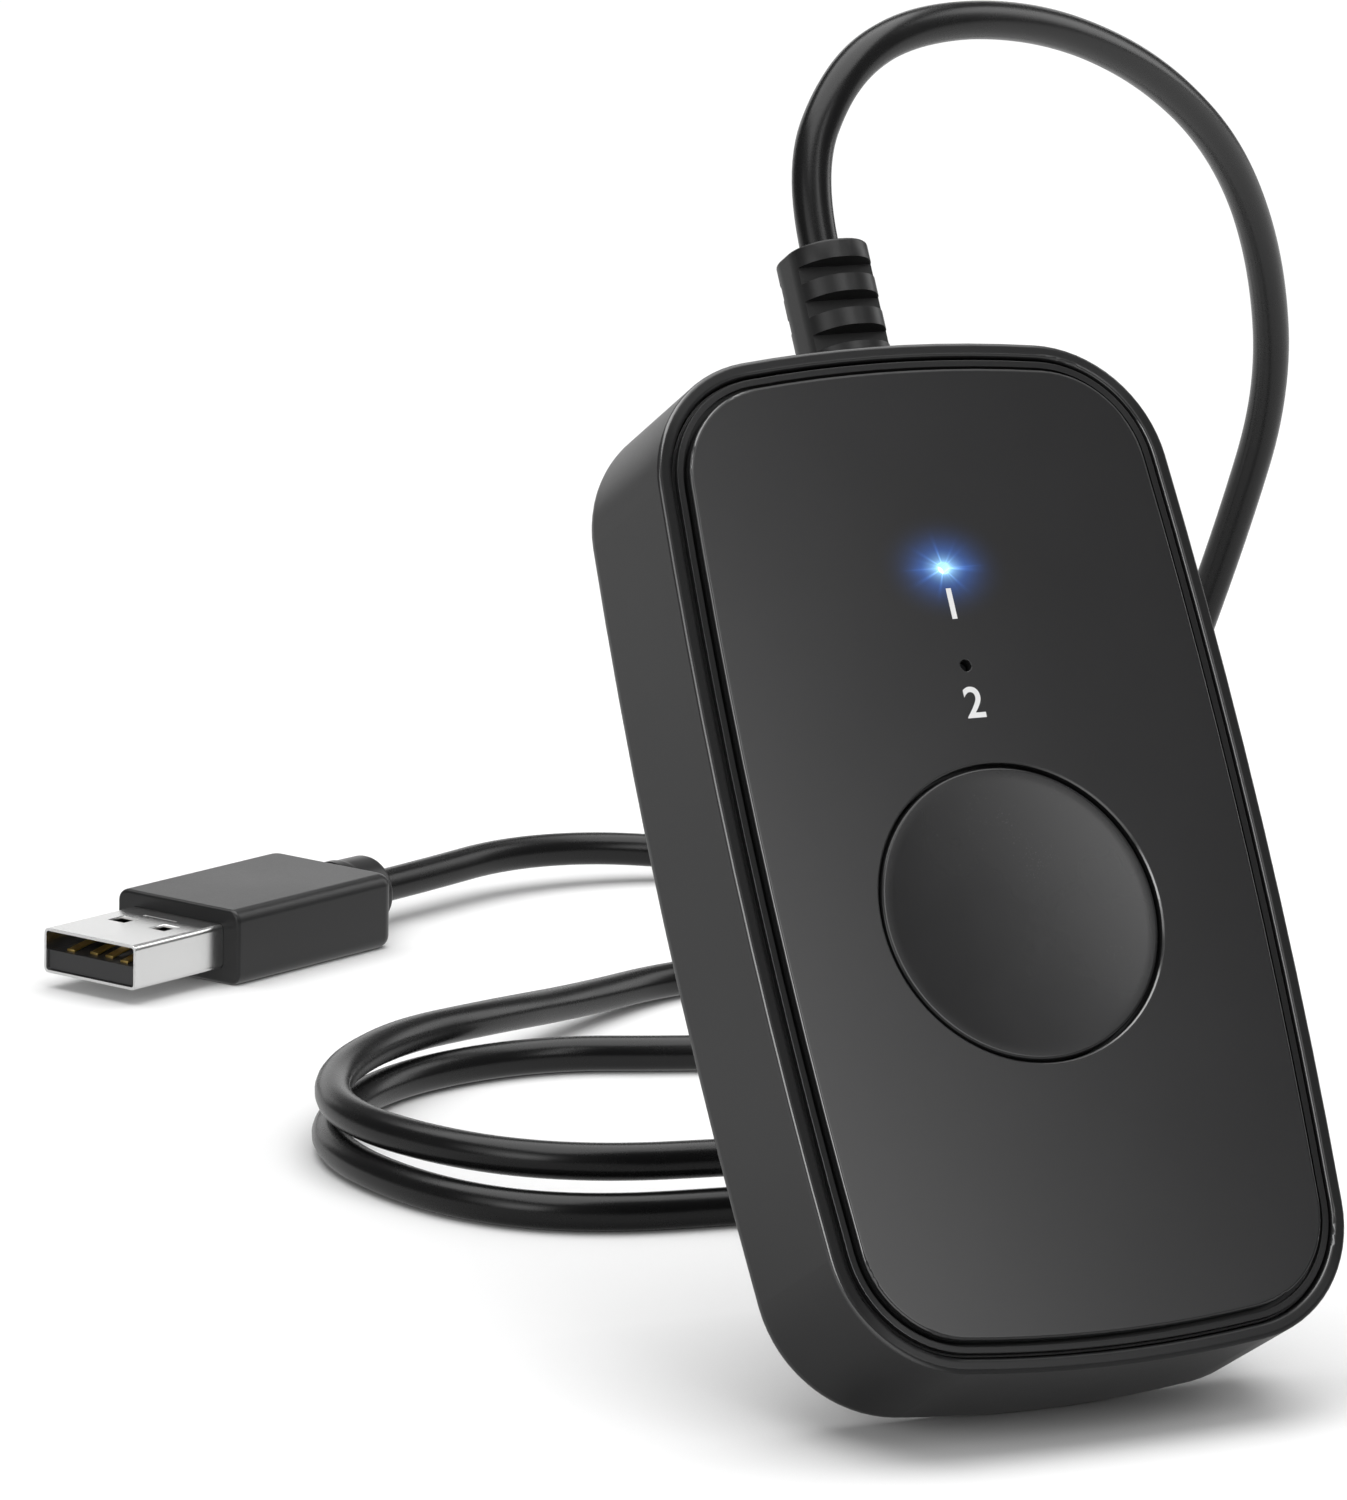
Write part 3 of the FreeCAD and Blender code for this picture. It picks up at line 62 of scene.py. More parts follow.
class Amount:
    """One output of a finish's nodes. Working with it adds the nodes that do the sum."""

    def __init__(self, finish, socket):
        self.finish = finish
        self.socket = socket

    def sum(self, operation, *terms):
        """The result of one sum of these terms."""
        return self.finish.node("ShaderNodeMath", {"operation": operation}, dict(enumerate(terms)))

    def __add__(self, other):
        return self.sum("ADD", self, other)

    __radd__ = __add__

    def __sub__(self, other):
        return self.sum("SUBTRACT", self, other)

    def __rsub__(self, other):
        return self.sum("SUBTRACT", other, self)

    def __mul__(self, other):
        return self.sum("MULTIPLY", self, other)

    __rmul__ = __mul__

    def __truediv__(self, other):
        return self.sum("DIVIDE", self, other)

    def __rtruediv__(self, other):
        return self.sum("DIVIDE", other, self)

    def __pow__(self, other):
        return self.sum("POWER", self, other)

    def __abs__(self):
        return self.sum("ABSOLUTE", self)

    def at_least(self, other):
        """The larger of the two."""
        return self.sum("MAXIMUM", self, other)

    def fraction(self):
        """What is left over the whole number below."""
        return self.sum("FRACT", self)

    def wave(self):
        """The cosine, brought between 0 and 1."""
        return self.sum("COSINE", self) * 0.5 + 0.5

    def within(self, reach, blur):
        """1 where the amount is under reach, falling to 0 over blur."""
        settings = {"interpolation_type": "SMOOTHSTEP"}
        inputs = {"Value": self, "From Min": reach - blur / 2, "From Max": reach + blur / 2,
                  "To Min": 1.0, "To Max": 0.0}
        return self.finish.node("ShaderNodeMapRange", settings, inputs)


class Finish:
    """One material, built from its nodes."""

    def __init__(self, name):
        self.material = bpy.data.materials.new(name)
        self.material.use_nodes = True
        self.tree = self.material.node_tree
        self.tree.nodes.clear()

    def node(self, kind, settings=None, inputs=None, output=0):
        """Adds one node with its settings and inputs, and gives one of its outputs."""
        made = self.tree.nodes.new(kind)
        for name, value in (settings or {}).items():
            setattr(made, name, value)
        for name, value in (inputs or {}).items():
            if isinstance(value, Amount):
                self.tree.links.new(value.socket, made.inputs[name])
            else:
                made.inputs[name].default_value = value
        return Amount(self, made.outputs[output])

    def place(self):
        """The point on the piece, in metres."""
        return self.node("ShaderNodeTexCoord", output="Object")

    def along(self, direction, origin=(0.0, 0.0, 0.0)):
        """How far the point lies along a direction from an origin, in metres."""
        start = Vector(origin).dot(Vector(direction))
        inputs = {0: self.place(), 1: tuple(direction)}
        reach = self.node("ShaderNodeVectorMath", {"operation": "DOT_PRODUCT"}, inputs, "Value")
        return reach - start if start else reach

    def case_axes(self, level=0.0):
        """How far the point lies across the case and up it from a level, in millimetres."""
        across = self.along((1.0, 0.0, 0.0)) * 1000
        return across, self.along(CASE_UP, CASE_MIDDLE + CASE_UP * level) * 1000

    def up_the_case(self):
        """How far the point lies up the case from its middle, in millimetres."""
        return self.along(CASE_UP * 1000, CASE_MIDDLE)

    def away(self, place):
        """How far the point lies from a place, in metres."""
        inputs = {0: self.place(), 1: place}
        return self.node("ShaderNodeVectorMath", {"operation": "DISTANCE"}, inputs, "Value")

    def noise(self, size, detail=2.0, stretch=(1.0, 1.0, 1.0)):
        """Noise of that grain size in millimetres."""
        point = self.place()
        if stretch != (1.0, 1.0, 1.0):
            point = self.node("ShaderNodeMapping", inputs={"Vector": point, "Scale": stretch})
        inputs = {"Vector": point, "Scale": 1000.0 / size, "Detail": detail}
        return self.node("ShaderNodeTexNoise", inputs=inputs)

    def tint(self, share, first, second):
        """A colour between two others."""
        inputs = {0: share, 6: first if isinstance(first, Amount) else (*first, 1.0),
                  7: second if isinstance(second, Amount) else (*second, 1.0)}
        return self.node("ShaderNodeMix", {"data_type": "RGBA"}, inputs, 2)

    def clouded(self, cloud, colour, low=0.88, high=1.12):
        """A colour that wavers between two shares of itself."""
        return self.tint(cloud, darker(colour, low), darker(colour, high))

    def softened(self, edge):
        """The surface's direction with its edges softened over that many millimetres."""
        return self.node("ShaderNodeBevel", {"samples": 6}, {"Radius": edge / 1000})

    def facing(self, edge, direction):
        """How squarely the softened surface faces a direction, from -1 to 1."""
        inputs = {0: self.softened(edge), 1: tuple(direction)}
        return self.node("ShaderNodeVectorMath", {"operation": "DOT_PRODUCT"}, inputs, "Value")

    def relief(self, height, depth, strength=1.0, edge=0.0):
        """Surface relief that many millimetres deep, with the piece's edges softened."""
        inputs = {"Height": height, "Distance": depth / 1000, "Strength": strength}
        if edge:
            inputs["Normal"] = self.softened(edge)
        return self.node("ShaderNodeBump", inputs=inputs)

    def surface(self, **sockets):
        """Ends the finish in one shader with these sockets set, and gives the material."""
        inputs = {name.replace("_", " "): value for name, value in sockets.items()}
        for name in ("Base Color", "Emission Color"):
            if name in inputs and not isinstance(inputs[name], Amount):
                inputs[name] = (*inputs[name], 1.0)
        shader = self.node("ShaderNodeBsdfPrincipled", inputs=inputs)
        return self.end(shader)

    def end(self, shader):
        """Joins the last shader to the output, and gives the material."""
        output = self.tree.nodes.new("ShaderNodeOutputMaterial")
        self.tree.links.new(shader.socket, output.inputs["Surface"])
        return self.material


def darker(colour, share):
    """A colour times a share."""
    return tuple(channel * share for channel in colour)


def moulded(name, colour, roughness, grain=0.14, depth=0.006, edge=0.12, level=0.5):
    """Satin moulded plastic: a fine spark-eroded grain, faint clouding and softened edges."""
    finish = Finish(name)
    cloud = finish.noise(9.0, 3.0)
    fine = finish.noise(grain, 2.0)
    return finish.surface(
        Base_Color=finish.clouded(cloud, colour),
        Roughness=roughness + (cloud - 0.5) * 0.06 + (fine - 0.5) * 0.08,
        Specular_IOR_Level=level,
        Normal=finish.relief(fine, depth, 0.6, edge),
    )


POLISH_IOR = 1.9
POLISH_ROUGHNESS = 0.16


def rounded_edge(finish, edge):
    """1 on the edges that turn away from the case's face, 0 on its flats."""
    out = finish.facing(edge, CASE_OUT)
    return out.at_least(0.0) * (1.0 - out * out) ** 0.5 * 2.0


def shining_edge(finish, edge, along_top):
    """The rounded edges that turn to the left, and less of those along the case's top."""
    leftward = 1.0 - finish.facing(edge, (-1.0, 0.0, 0.0)).within(0.32, 0.36)
    topmost = 1.0 - finish.up_the_case().within(39.0, 4.0)
    return rounded_edge(finish, edge) * leftward.at_least(topmost * along_top)


def case_finish():
    """The case's satin plastic: polished edges round the face and a duller rim between them, whose flat
    faces beside the panel are darkened by painted shade.
    """
    finish = Finish("case_black")
    colour, edge = (0.014, 0.014, 0.0144), 0.12
    cloud = finish.noise(9.0, 3.0)
    fine = finish.noise(0.14, 2.0)
    # painted shade: the rim's flat faces left and right of the panel get a darker colour, along with a
    # duller finish
    beside = 1.0 - abs(finish.along((1000.0, 0.0, 0.0))).within(21.0, 4.0)
    level = (1.0 - finish.facing(edge, CASE_OUT).within(0.9, 0.1)) * beside
    return finish.surface(
        Base_Color=finish.tint(level, finish.clouded(cloud, colour), darker(colour, 0.4)),
        Roughness=0.33 + level * 0.42 + (cloud - 0.5) * 0.06 + (fine - 0.5) * 0.08,
        Specular_IOR_Level=0.25,
        Coat_Weight=shining_edge(finish, edge, 0.35),
        Coat_IOR=POLISH_IOR,
        Coat_Roughness=POLISH_ROUGHNESS,
        Normal=finish.relief(fine, 0.006, 0.6, edge),
    )


def painted_pipe_glow(finish):
    """The lit pipe's light on the panel, painted into the panel's emission: a core, a halo, a star of rays
    and a streak, in a blue shade.
    """
    across, up = finish.case_axes(LIGHT_ONE)
    reach = (across * across * 0.62 + up * up) ** 0.5
    turn = up.sum("ARCTAN2", up, across)
    star = (turn * 7.0 + 0.6).wave() ** 3.0 * (turn * 17.0 + 2.0).wave() ** 2.0
    halo = 0.5 / (1.0 + (reach * 0.5) ** 3.0) * reach.within(3.2, 3.6)
    core = 3.0 / (1.0 + (reach * 2.7) ** 3.0)
    burst = star * 0.9 / (1.0 + (reach * 0.9) ** 3.0)
    streak = 0.6 / (1.0 + abs(up) * 11.0) / (1.0 + (abs(across) * 0.42) ** 3.0)
    streak = streak * abs(across).within(3.4, 2.4) * abs(up).within(0.7, 0.8)
    glow = halo + core * reach.within(1.9, 1.8) + burst * reach.within(2.6, 2.4) + streak
    blue = finish.tint(reach.within(1.0, 1.6), (0.06, 0.2, 0.72), (0.3, 0.62, 1.0))
    return finish.node("ShaderNodeVectorMath", {"operation": "SCALE"}, {0: blue, "Scale": glow})


def panel_finish():
    """The inlaid panel, with duller edges along its top and the blue light round the lit pipe's hole
    painted into its emission.
    """
    finish = Finish("panel_black")
    edge = 0.1
    cloud = finish.noise(14.0, 3.0)
    fine = finish.noise(0.12, 2.0)
    dull = rounded_edge(finish, edge) * (1.0 - finish.up_the_case().within(27.0, 8.0))
    return finish.surface(
        Base_Color=finish.clouded(cloud, (0.0155, 0.0155, 0.016), 0.93, 1.07),
        Roughness=0.23 + dull * 0.5 + (cloud - 0.5) * 0.02 + (fine - 0.5) * 0.03,
        # painted glow: the lit pipe's blue light on the panel is painted as emission
        Emission_Color=painted_pipe_glow(finish),
        Emission_Strength=1.0,
        Coat_Weight=shining_edge(finish, edge, 0.0),
        Coat_IOR=POLISH_IOR,
        Coat_Roughness=POLISH_ROUGHNESS,
        Normal=finish.relief(fine, 0.004, 0.5, edge),
    )


def jacket(name, colour, roughness):
    """Smooth flexible plastic with a soft shine, as on a lead."""
    finish = Finish(name)
    cloud = finish.noise(5.0, 2.0)
    fine = finish.noise(0.25, 2.0)
    return finish.surface(
        Base_Color=finish.clouded(cloud, colour, 0.9, 1.1),
        Roughness=roughness + (cloud - 0.5) * 0.06 + (fine - 0.5) * 0.03,
        Specular_IOR_Level=0.34,
        Normal=finish.relief(fine, 0.0012, 0.4),
    )


def plated(name, colour, roughness, stretch, edge=0.08, highlit_cut_side=None):
    """Bright plated sheet metal with the faint lines of rolling, dull where it was cut on one side, where
    it also loses its metal so that its pale colour shows as a painted highlight.
    """
    finish = Finish(name)
    lines = finish.noise(0.12, 2.0, stretch)
    cloud = finish.noise(3.0, 2.0)
    # painted highlight: faces towards the cut side lose their metal and show their pale colour as a bright
    # lip
    cut = finish.facing(0.02, highlit_cut_side).at_least(0.0) ** 2.0 if highlit_cut_side else 0.0
    return finish.surface(
        Base_Color=finish.clouded(cloud, colour, 0.95, 1.0),
        Metallic=1.0 - cut * 0.9,
        Roughness=roughness + cut * 0.3 + (lines - 0.5) * 0.1,
        Normal=finish.relief(lines, 0.002, 0.4, edge),
    )


def circuit_finish():
    """Green solder mask with copper tracks showing through and tinned pads."""
    finish = Finish("board_green")
    across, up = finish.case_axes()
    cells = finish.node("ShaderNodeTexVoronoi", {"feature": "DISTANCE_TO_EDGE"},
                        {"Vector": finish.place(), "Scale": 260.0, "Randomness": 0.7})
    tracks = cells.within(0.09, 0.03)
    weave = finish.noise(0.4, 1.0)
    grid = abs((across * 0.5).fraction() - 0.5) + abs((up * 0.5).fraction() - 0.5)
    pads = grid.within(0.12, 0.04) * 0.6
    green = finish.tint(tracks, (0.008, 0.085, 0.028), (0.018, 0.16, 0.05))
    return finish.surface(
        Base_Color=finish.tint(pads, green, (0.55, 0.56, 0.55)),
        Roughness=0.28 + weave * 0.12,
        Normal=finish.relief(tracks, 0.03, 0.6),
    )


def lamp_finish(name, colour, strength):
    """A lamp's moulded lens, lit or unlit."""
    finish = Finish(name)
    cloud = finish.noise(0.5, 1.0)
    return finish.surface(
        Base_Color=finish.clouded(cloud, colour, 0.9, 1.0),
        Roughness=0.15 + cloud * 0.05,
        Emission_Color=finish.clouded(cloud, colour, 0.95, 1.0),
        Emission_Strength=strength,
    )


def dress(material, *names):
    """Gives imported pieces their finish."""
    for name in names:
        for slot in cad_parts[name].material_slots:
            slot.material = material


dress(case_finish(), "housing", "front_frame")
dress(panel_finish(), "face_plate")
button_black = moulded("button_black", (0.0145, 0.0145, 0.015), 0.25, 0.12, 0.003, edge=0.0)
dress(button_black, "button_cap")
dress(moulded("film_grey", (0.5, 0.5, 0.48), 0.6, edge=0.0), "adhesive_film")
dress(moulded("switch_black", (0.012, 0.012, 0.012), 0.5, edge=0.05),
      "switch_body", "controller_chip", "board_resistors", "cable_clamp")
dress(moulded("tongue_black", (0.03, 0.03, 0.031), 0.42, edge=0.05), "plug_tongue")
dress(moulded("nylon_white", (0.7, 0.69, 0.65), 0.45, edge=0.05), "switch_plunger")
dress(moulded("ceramic_tan", (0.42, 0.3, 0.18), 0.5, edge=0.05), "board_capacitors")
dress(moulded("foot_rubber", (0.016, 0.016, 0.016), 0.72, 0.3, 0.02), "rubber_feet")
dress(moulded("wire_red", (0.45, 0.03, 0.025), 0.4, edge=0.0), "inner_wires")
dress(circuit_finish(), "main_board")
dress(plated("switch_steel", (0.72, 0.72, 0.71), 0.28, (1.0, 0.1, 0.1)), "switch_cover", "crystal")
dress(plated("screw_steel", (0.56, 0.56, 0.55), 0.35, (1.0, 1.0, 1.0)),
      "board_screws", "case_screws", "clamp_screws")
# the shell's lip, facing the mouth, carries the painted highlight
plug_steel = plated("plug_steel", (0.8, 0.8, 0.795), 0.24, (1.0, 1.0, 0.15), 0.0, -PLUG_ALONG)
dress(plug_steel, "plug_shell")
contact_gold = plated("contact_gold", (0.95, 0.68, 0.22), 0.38, (0.2, 0.2, 1.0), 0.0)
dress(contact_gold, "plug_contacts")
dress(lamp_finish("lamp_lit", (0.5, 0.8, 1.0), 1.6), "status_led_1", "light_pipe_1")
# painted shade: the unlit light pipe is coloured near black so that its hole shows dark
dress(lamp_finish("lamp_dark", (0.02, 0.02, 0.022), 0.0), "light_pipe_2")
dress(lamp_finish("lamp_unlit", (0.8, 0.8, 0.75), 0.0), "status_led_2")
cord_black = jacket("cord_black", (0.006, 0.006, 0.0062), 0.27)
dress(cord_black, "cable_tail", "cord_arch", "cord_loops")
boot_black = moulded("boot_black", (0.0105, 0.0105, 0.0107), 0.38, 0.2, 0.003, 0.0, 0.38)
dress(boot_black, "strain_relief")
grip_black = moulded("grip_black", (0.013, 0.013, 0.0134), 0.34, 0.16, 0.004, 0.0, 0.42)
dress(grip_black, "plug_overmould")


# --- the lead -------------------------------------------------------------------------------------

LEAD_RADIUS = 0.0017
FLOOR = LEAD_RADIUS
STACK = 0.0056
BOOT_END = (0.0, 0.0280395, 0.0897540)
NECK_END = (0.0215837, 0.1642654, 0.0038)
LEAD_ROUTE = [
    BOOT_END, (0.0, 0.0317895, 0.0962492),
    (0.0050, 0.0354, 0.1036), (0.0122, 0.0390, 0.1070), (0.0230, 0.0436, 0.1074), (0.0358, 0.0496, 0.1050),
    (0.0492, 0.0566, 0.0994), (0.0614, 0.0644, 0.0908), (0.0706, 0.0726, 0.0792), (0.0766, 0.0806, 0.0654),
    (0.0774, 0.0888, 0.0506), (0.0754, 0.0950, 0.0346), (0.0715, 0.0976, 0.0192), (0.0642, 0.0956, 0.0074),
    (0.0531, 0.0936, FLOOR),
    (0.0368, 0.0942, FLOOR), (0.0246, 0.0980, FLOOR), (0.0108, 0.1036, FLOOR), (-0.0062, 0.0992, FLOOR),
    (-0.0187, 0.0864, FLOOR), (-0.0225, 0.0735, FLOOR), (-0.0195, 0.0570, FLOOR), (-0.0105, 0.0480, FLOOR),
    (0.0055, 0.0456, FLOOR), (0.0250, 0.0435, FLOOR), (0.0440, 0.0490, FLOOR), (0.0585, 0.0615, FLOOR),
    (0.0665, 0.0790, FLOOR), (0.0675, 0.0995, FLOOR), (0.0625, 0.1165, FLOOR), (0.0515, 0.1265, FLOOR),
    (0.0375, 0.1265, FLOOR), (0.0230, 0.1180, 0.0025), (0.0085, 0.1075, 0.0046), (-0.0060, 0.0995, STACK),
    (-0.0175, 0.0880, STACK), (-0.0225, 0.0740, STACK), (-0.0180, 0.0590, STACK), (-0.0090, 0.0505, STACK),
    (0.0055, 0.0476, STACK), (0.0240, 0.0450, STACK), (0.0430, 0.0460, STACK), (0.0565, 0.0520, 0.0033),
    (0.0685, 0.0635, FLOOR), (0.0765, 0.0795, FLOOR), (0.0825, 0.0985, FLOOR), (0.0850, 0.1185, FLOOR),
    (0.0850, 0.1375, FLOOR), (0.0806, 0.1542, FLOOR), (0.0708, 0.1672, FLOOR), (0.0568, 0.1743, 0.0034),
    (0.0427, 0.1741, 0.0041),
    (0.0297405, 0.1680690, 0.0038), NECK_END,
]


def lead(fittings):
    """The whole free lead, from the boot to the plug's neck, on one smooth line."""
    curve = bpy.data.curves.new("lead", "CURVE")
    curve.dimensions = "3D"
    spline = curve.splines.new("NURBS")
    spline.points.add(len(LEAD_ROUTE) - 1)
    for point, place in zip(spline.points, LEAD_ROUTE):
        point.co = (*place, 1.0)
    spline.order_u = 3
    spline.use_endpoint_u = True
    spline.resolution_u = 12
    curve.bevel_depth = LEAD_RADIUS
    curve.bevel_resolution = 7
    curve.use_fill_caps = True
    curve.materials.append(cord_black)
    piece = bpy.data.objects.new("lead", curve)
    bpy.context.scene.collection.objects.link(piece)
    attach(piece, "case")
    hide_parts("cord_arch", "cord_loops")


# --- modelling by hand ----------------------------------------------------------------------------

MM = 0.001


def take(*pieces):
    """Selects these pieces alone, the first of them active."""
    bpy.ops.object.select_all(action="DESELECT")
    for piece in pieces:
        piece.select_set(True)
    bpy.context.view_layer.objects.active = pieces[0]


def fixed(name):
    """Names the primitive that was just added, and moves its place into its mesh."""
    bpy.ops.object.transform_apply(location=True, rotation=True, scale=True)
    piece = bpy.context.object
    piece.name = name
    return piece


def pick(piece, kind, test):
    """Opens a piece for editing, with the faces or edges selected whose place and direction pass a test."""
    bpy.ops.object.mode_set(mode="OBJECT")
    mesh = piece.data
    for element in (*mesh.vertices, *mesh.edges, *mesh.polygons):
        element.select = False
    for face in mesh.polygons:
        face.select = kind == "FACE" and test(face.center / MM, face.normal)
    for edge in mesh.edges:
        first, last = (mesh.vertices[corner].co / MM for corner in edge.vertices)
        edge.select = kind == "EDGE" and test((first + last) / 2, (last - first).normalized())
    bpy.context.tool_settings.mesh_select_mode = (False, kind == "EDGE", kind == "FACE")
    bpy.ops.object.mode_set(mode="EDIT")


def block(name, low, high):
    """A block between two corners, in millimetres."""
    low, high = Vector(low) * MM, Vector(high) * MM
    bpy.ops.object.select_all(action="DESELECT")
    bpy.ops.mesh.primitive_cube_add(size=1.0, location=(low + high) / 2, scale=high - low)
    return fixed(name)


def bevel(offset, segments):
    """Rounds the selected edges by that many millimetres."""
    bpy.ops.mesh.bevel(offset=offset * MM, segments=segments)


def rounded_block(name, low, high, radius, segments):
    """A block with its edges along x rounded."""
    piece = block(name, low, high)
    pick(piece, "EDGE", lambda place, along: abs(along.x) > 0.9)
    bevel(radius, segments)
    bpy.ops.object.mode_set(mode="OBJECT")
    return piece


def turned(name, profile, sides=96):
    """A piece turned about the z axis from (radius, level) points that start and end near the axis."""
    bpy.ops.object.select_all(action="DESELECT")
    radius, level = profile[0]
    bpy.ops.mesh.primitive_circle_add(vertices=sides, radius=radius * MM, fill_type="TRIFAN",
                                      location=(0, 0, level * MM))
    piece = fixed(name)
    bpy.ops.object.mode_set(mode="EDIT")
    bpy.ops.mesh.select_all(action="SELECT")
    bpy.ops.mesh.region_to_loop()
    for reach, height in profile[1:]:
        bpy.ops.mesh.extrude_edges_move(TRANSFORM_OT_translate={"value": (0, 0, (height - level) * MM)})
        bpy.ops.transform.resize(value=(reach / radius, reach / radius, 1.0), center_override=(0, 0, 0))
        radius, level = reach, height
    bpy.ops.mesh.edge_face_add()
    bpy.ops.mesh.select_all(action="SELECT")
    bpy.ops.mesh.normals_make_consistent(inside=False)
    bpy.ops.object.mode_set(mode="OBJECT")
    return piece


def hollow_out(piece, tool):
    """Cuts a tool's shape out of a piece, and takes the tool away."""
    take(piece)
    cut = piece.modifiers.new("cut", "BOOLEAN")
    cut.operation = "DIFFERENCE"
    cut.object = tool
    bpy.ops.object.modifier_apply(modifier=cut.name)
    bpy.data.objects.remove(tool)


def join(pieces):
    """Makes one piece of several."""
    take(*pieces)
    bpy.ops.object.join()
    return pieces[0]


def settle(piece, name, material, body, node, move, turn, smooth=35):
    """Smooths a piece, puts it where its node is and lets it stand for that node."""
    bpy.ops.object.mode_set(mode="OBJECT")
    take(piece)
    bpy.ops.object.shade_smooth_by_angle(angle=math.radians(smooth))
    flat = piece.modifiers.new("flat faces", "WEIGHTED_NORMAL")
    flat.keep_sharp = True
    bpy.ops.object.modifier_apply(modifier=flat.name)
    piece.location = move
    piece.rotation_euler = turn
    bpy.ops.object.transform_apply(location=True, rotation=True, scale=True)
    piece.name = name
    piece.data.materials.clear()
    piece.data.materials.append(material)
    piece.select_set(False)
    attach(piece, body)
    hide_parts(node)
    return piece


# --- the button -----------------------------------------------------------------------------------

def push_button():
    """The dished button with its rounded rim, skirt, flange and stem, in millimetres."""
    wide, top, dish, edge = 12.65, 16.35, 0.55, 0.3
    flange, flange_top, flange_low = 13.75, 13.3, 12.5
    hollow, ceiling = 11.45, 14.5
    stem, stem_low = 2.6, 11.45
    rings, steps = 16, 6

    bowl = (wide ** 2 + dish ** 2) / (2 * dish)
    middle = top - dish + bowl
    drop = math.sqrt((bowl + edge) ** 2 - (wide - edge) ** 2)
    tilt = math.atan2(wide - edge, drop)
    round_level = middle - drop
    last = (wide - edge) - edge * math.sin(tilt)
    profile = []
    for k in range(1, rings + 1):
        reach = last * k / rings
        profile.append((reach, middle - math.sqrt(bowl ** 2 - reach ** 2)))
    for k in range(1, steps + 1):
        turn = (math.pi / 2 + tilt) * (1 - k / steps)
        profile.append((wide - edge + edge * math.cos(turn), round_level + edge * math.sin(turn)))
    profile += [
        (wide, flange_top + 0.02), (wide + 0.02, flange_top),
        (flange - 0.05, flange_top), (flange, flange_top - 0.05),
        (flange, flange_low + 0.05), (flange - 0.05, flange_low),
        (hollow + 0.05, flange_low), (hollow, flange_low + 0.05),
        (hollow, ceiling - 0.1), (hollow - 0.1, ceiling),
        (stem + 0.2, ceiling), (stem, ceiling - 0.2),
        (stem, stem_low + 0.15), (stem - 0.15, stem_low),
    ]
    piece = turned("button", profile, 160)
    settle(piece, "push_button", button_black, "button", "button_cap",
           CASE_MIDDLE + CASE_UP * BUTTON_MIDDLE, CASE_TURN)


push_button()


# --- the boot -------------------------------------------------------------------------------------

CORD_LEVEL = 8.0


def rod(name, radius, low, high):
    """A round rod along the case, on the lead's level."""
    bpy.ops.object.select_all(action="DESELECT")
    bpy.ops.mesh.primitive_cylinder_add(vertices=96, radius=radius * MM, depth=(high - low) * MM,
                                        rotation=(math.pi / 2, 0, 0),
                                        location=(0, (low + high) / 2 * MM, CORD_LEVEL * MM))
    return fixed(name)


def ladder_boot():
    """The lead's boot: an oblong block with slots across its front and back, and the neck that holds it."""
    foot, tip, half_width, half_depth, corner = 44.45, 55.55, 3.65, 4.15, 3.4
    slots, first, pitch, slot, slot_floor = 3, 1.7, 3.05, 1.5, 1.8
    past_side, past_face = 5, 6

    boot = block("boot", (-half_width, foot, CORD_LEVEL - half_depth),
                 (half_width, tip, CORD_LEVEL + half_depth))
    pick(boot, "EDGE", lambda place, along: abs(along.y) > 0.9)
    bevel(corner, 20)
    pick(boot, "EDGE", lambda place, along: place.y > tip - 0.01)
    bevel(0.25, 3)
    bpy.ops.object.mode_set(mode="OBJECT")
    for k in range(slots):
        start = tip - first - pitch * k
        for low, high in ((slot_floor, past_face), (-past_face, -slot_floor)):
            corners = (-past_side, start - slot, CORD_LEVEL + low), (past_side, start, CORD_LEVEL + high)
            hollow_out(boot, block("slot", *corners))
    pieces = [boot, rod("neck", 3.1, 42.0, foot + 0.5), rod("flange", 4.3, 40.45, 42.05)]
    for piece in pieces:
        hollow_out(piece, rod("bore", 1.75, 40, 56))
    return settle(join(pieces), "ladder_boot", boot_black, "case", "strain_relief",
                  CASE_MIDDLE, CASE_TURN, 32)


# --- the plug -------------------------------------------------------------------------------------

WINDOW_START = 6.9
WINDOW_LENGTH = 2.2
WINDOW_HALF_WIDTH = 1.0
WINDOW_PLACE = 2.7


def plug_shell():
    """The folded steel shell: thin walls with a cut lip painted pale as a highlight, two latch windows and
    a fold line.
    """
    shell = rounded_block("shell", (0, -6, 1.55), (18.5, 6, 6.05), 0.55, 5)
    hollow_out(shell, rounded_block("inside", (-1, -5.7, 1.85), (19.5, 5.7, 5.75), 0.27, 3))
    window_end = WINDOW_START + WINDOW_LENGTH
    for middle in (-WINDOW_PLACE, WINDOW_PLACE):
        hollow_out(shell, block("window", (WINDOW_START, middle - WINDOW_HALF_WIDTH, 5),
                                (window_end, middle + WINDOW_HALF_WIDTH, 7)))
    hollow_out(shell, block("fold", (10.6, -1.9, 5.9), (10.76, 2.1, 7)))
    hollow_out(shell, block("notch", (10.4, 1.9, 5.9), (10.8, 2.35, 7)))
    pick(shell, "EDGE", lambda place, along: place.x < 0.01)
    bevel(0.07, 2)
    pick(shell, "EDGE", lambda place, along: place.z > 6.04
         and WINDOW_START - 0.1 < place.x < window_end + 0.1
         and abs(abs(place.y) - WINDOW_PLACE) < WINDOW_HALF_WIDTH + 0.1)
    bevel(0.14, 2)
    return settle(shell, "steel_shell", plug_steel, "case", "plug_shell", PLUG_MOUTH, PLUG_TURN, 40)


